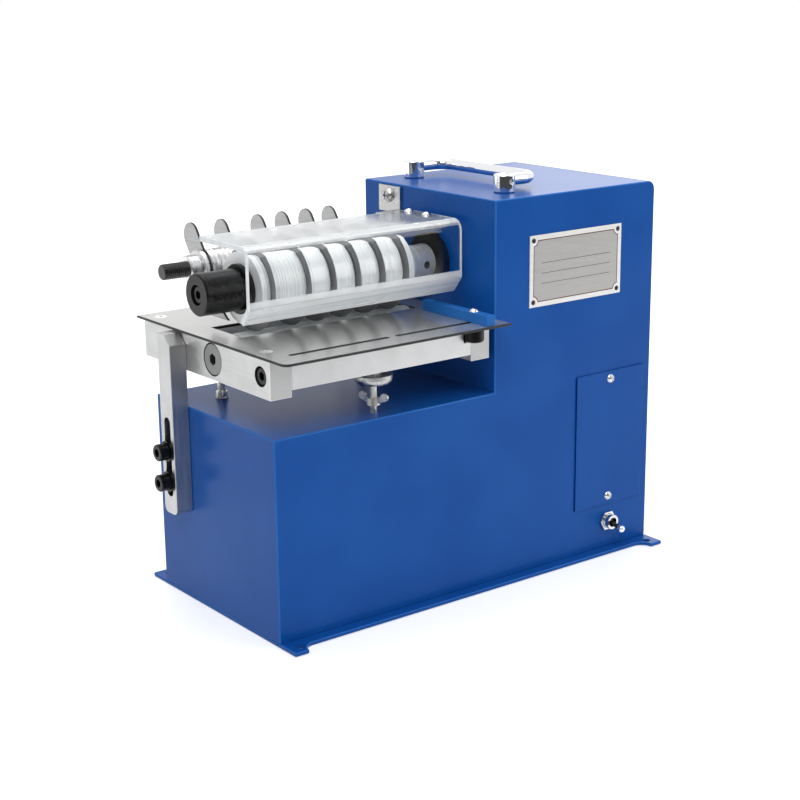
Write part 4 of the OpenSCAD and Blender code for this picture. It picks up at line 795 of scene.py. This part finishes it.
# Table frame: two side arms and two cross rails of milled aluminium under the plate.
# They are screwed together from the left side; their bores are near-black inside as painted shade, and their
# rounded edges pale as a painted highlight.
def milled(name, colour, stretch):
    """Milled aluminium: fine parallel cutter marks and a satin, slightly uneven sheen."""
    metal = finish(name, colour, metallic=1.0, roughness=0.38)
    marks = grain(metal, stretch, detail=2.0)
    shade(metal, grain(metal, 40.0), toned(colour, 0.9), colour)
    spread(metal, marks, "Roughness", 0.3, 0.46)
    emboss(metal, marks, strength=0.1, depth=0.00006)
    return metal


bar_skin, bar_ease = 0.0001, 0.0005


def bar_faces(node):
    """The sort for one bar: milled where a face's centre lies on the bar's own box, near-black in its bores
    as painted shade.
    """
    bar_low, bar_high = (np.array(corner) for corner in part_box(node))

    def faces(normals, centres):
        """The least distance from each face's centre to the planes of the box tells the two apart."""
        inset = np.minimum(np.abs(centres - bar_low), np.abs(centres - bar_high)).min(axis=1)
        return np.where(inset < bar_skin, first, third)

    return faces


arm_metal = milled("milled_arm", (0.55, 0.55, 0.55), (900.0, 25.0, 900.0))
rail_metal = milled("milled_rail", (0.72, 0.72, 0.72), (25.0, 900.0, 900.0))
# A paler copy of the milled metal for the bars' rounded edges: a painted highlight.
arm_edge_highlight = milled("arm_edge_painted_highlight", (0.85, 0.85, 0.85), 900.0)
bars = {"left_arm": arm_metal, "right_arm": arm_metal, "front_rail": rail_metal, "rear_rail": rail_metal}
for bar, metal in bars.items():
    bar_finishes = [metal, arm_edge_highlight, painted_dark_edge]
    bar_piece = rounded_copy(bar, "table", bar_ease, 2, bar_finishes, bar_faces(bar), least=long_run)
clothe(black_oxide, "frame_screws")


# Edge fence: a small bar on the table that guides the edge of the leather, coated in a lighter blue, a
# painted highlight for the light its top catches.
# A zinc-plated screw from above and a black nut below clamp it through a slot.
fence_paint_lit = blue_coat("lighter_blue_coat_painted_light", (0.014, 0.125, 0.42), (0.022, 0.15, 0.48))
rounded_copy("edge_fence", "table", bar_ease, 2, [fence_paint_lit, blue_edge_highlight])
clothe(zinc_plate, "fence_screw")
clothe(black_oxide, "fence_nut")


# Anvil roller: a ground steel roller that stands just proud of the table in the plate's window.
# It runs on sintered bronze bushes round a fixed steel axle in the arms.
roller_steel = turned("roller_steel", (0.78, 0.81, 0.8), 0.55, lines=500.0, tone=0.95, metallic=0.3)
bronze = turned("sintered_bronze", (0.6, 0.4, 0.17), 0.4, lines=300.0)
axle_steel = turned("dull_axle_steel", (0.27, 0.27, 0.27), 0.45, lines=300.0)
clothe(axle_steel, "roller_axle")
clothe(roller_steel, "anvil_roller")
clothe(bronze, "roller_bushes")


# Slotted post: a milled aluminium bar on the left arm that sets the height of the table.
# Two black socket screws through its slot clamp it to the base.
post_metal = milled("milled_post", (0.52, 0.52, 0.52), (900.0, 900.0, 25.0))
rounded_copy("slotted_post", "table", bar_ease, 2, [post_metal])
clothe(black_oxide, "post_bolts")


# Jack screws: three zinc-plated studs with wing nuts, which stand on the base and bear the table's rails.
# The front one has a round steel lock pad under its rail.
jack_zinc = plated("yellowed_zinc", (0.78, 0.77, 0.73), roughness=0.36)
clothe(jack_zinc, "front_jack", "left_jack", "right_jack")
pad_ease = 0.0004
rounded_copy("lock_pad", "table", pad_ease, 2, [bracket_steel])
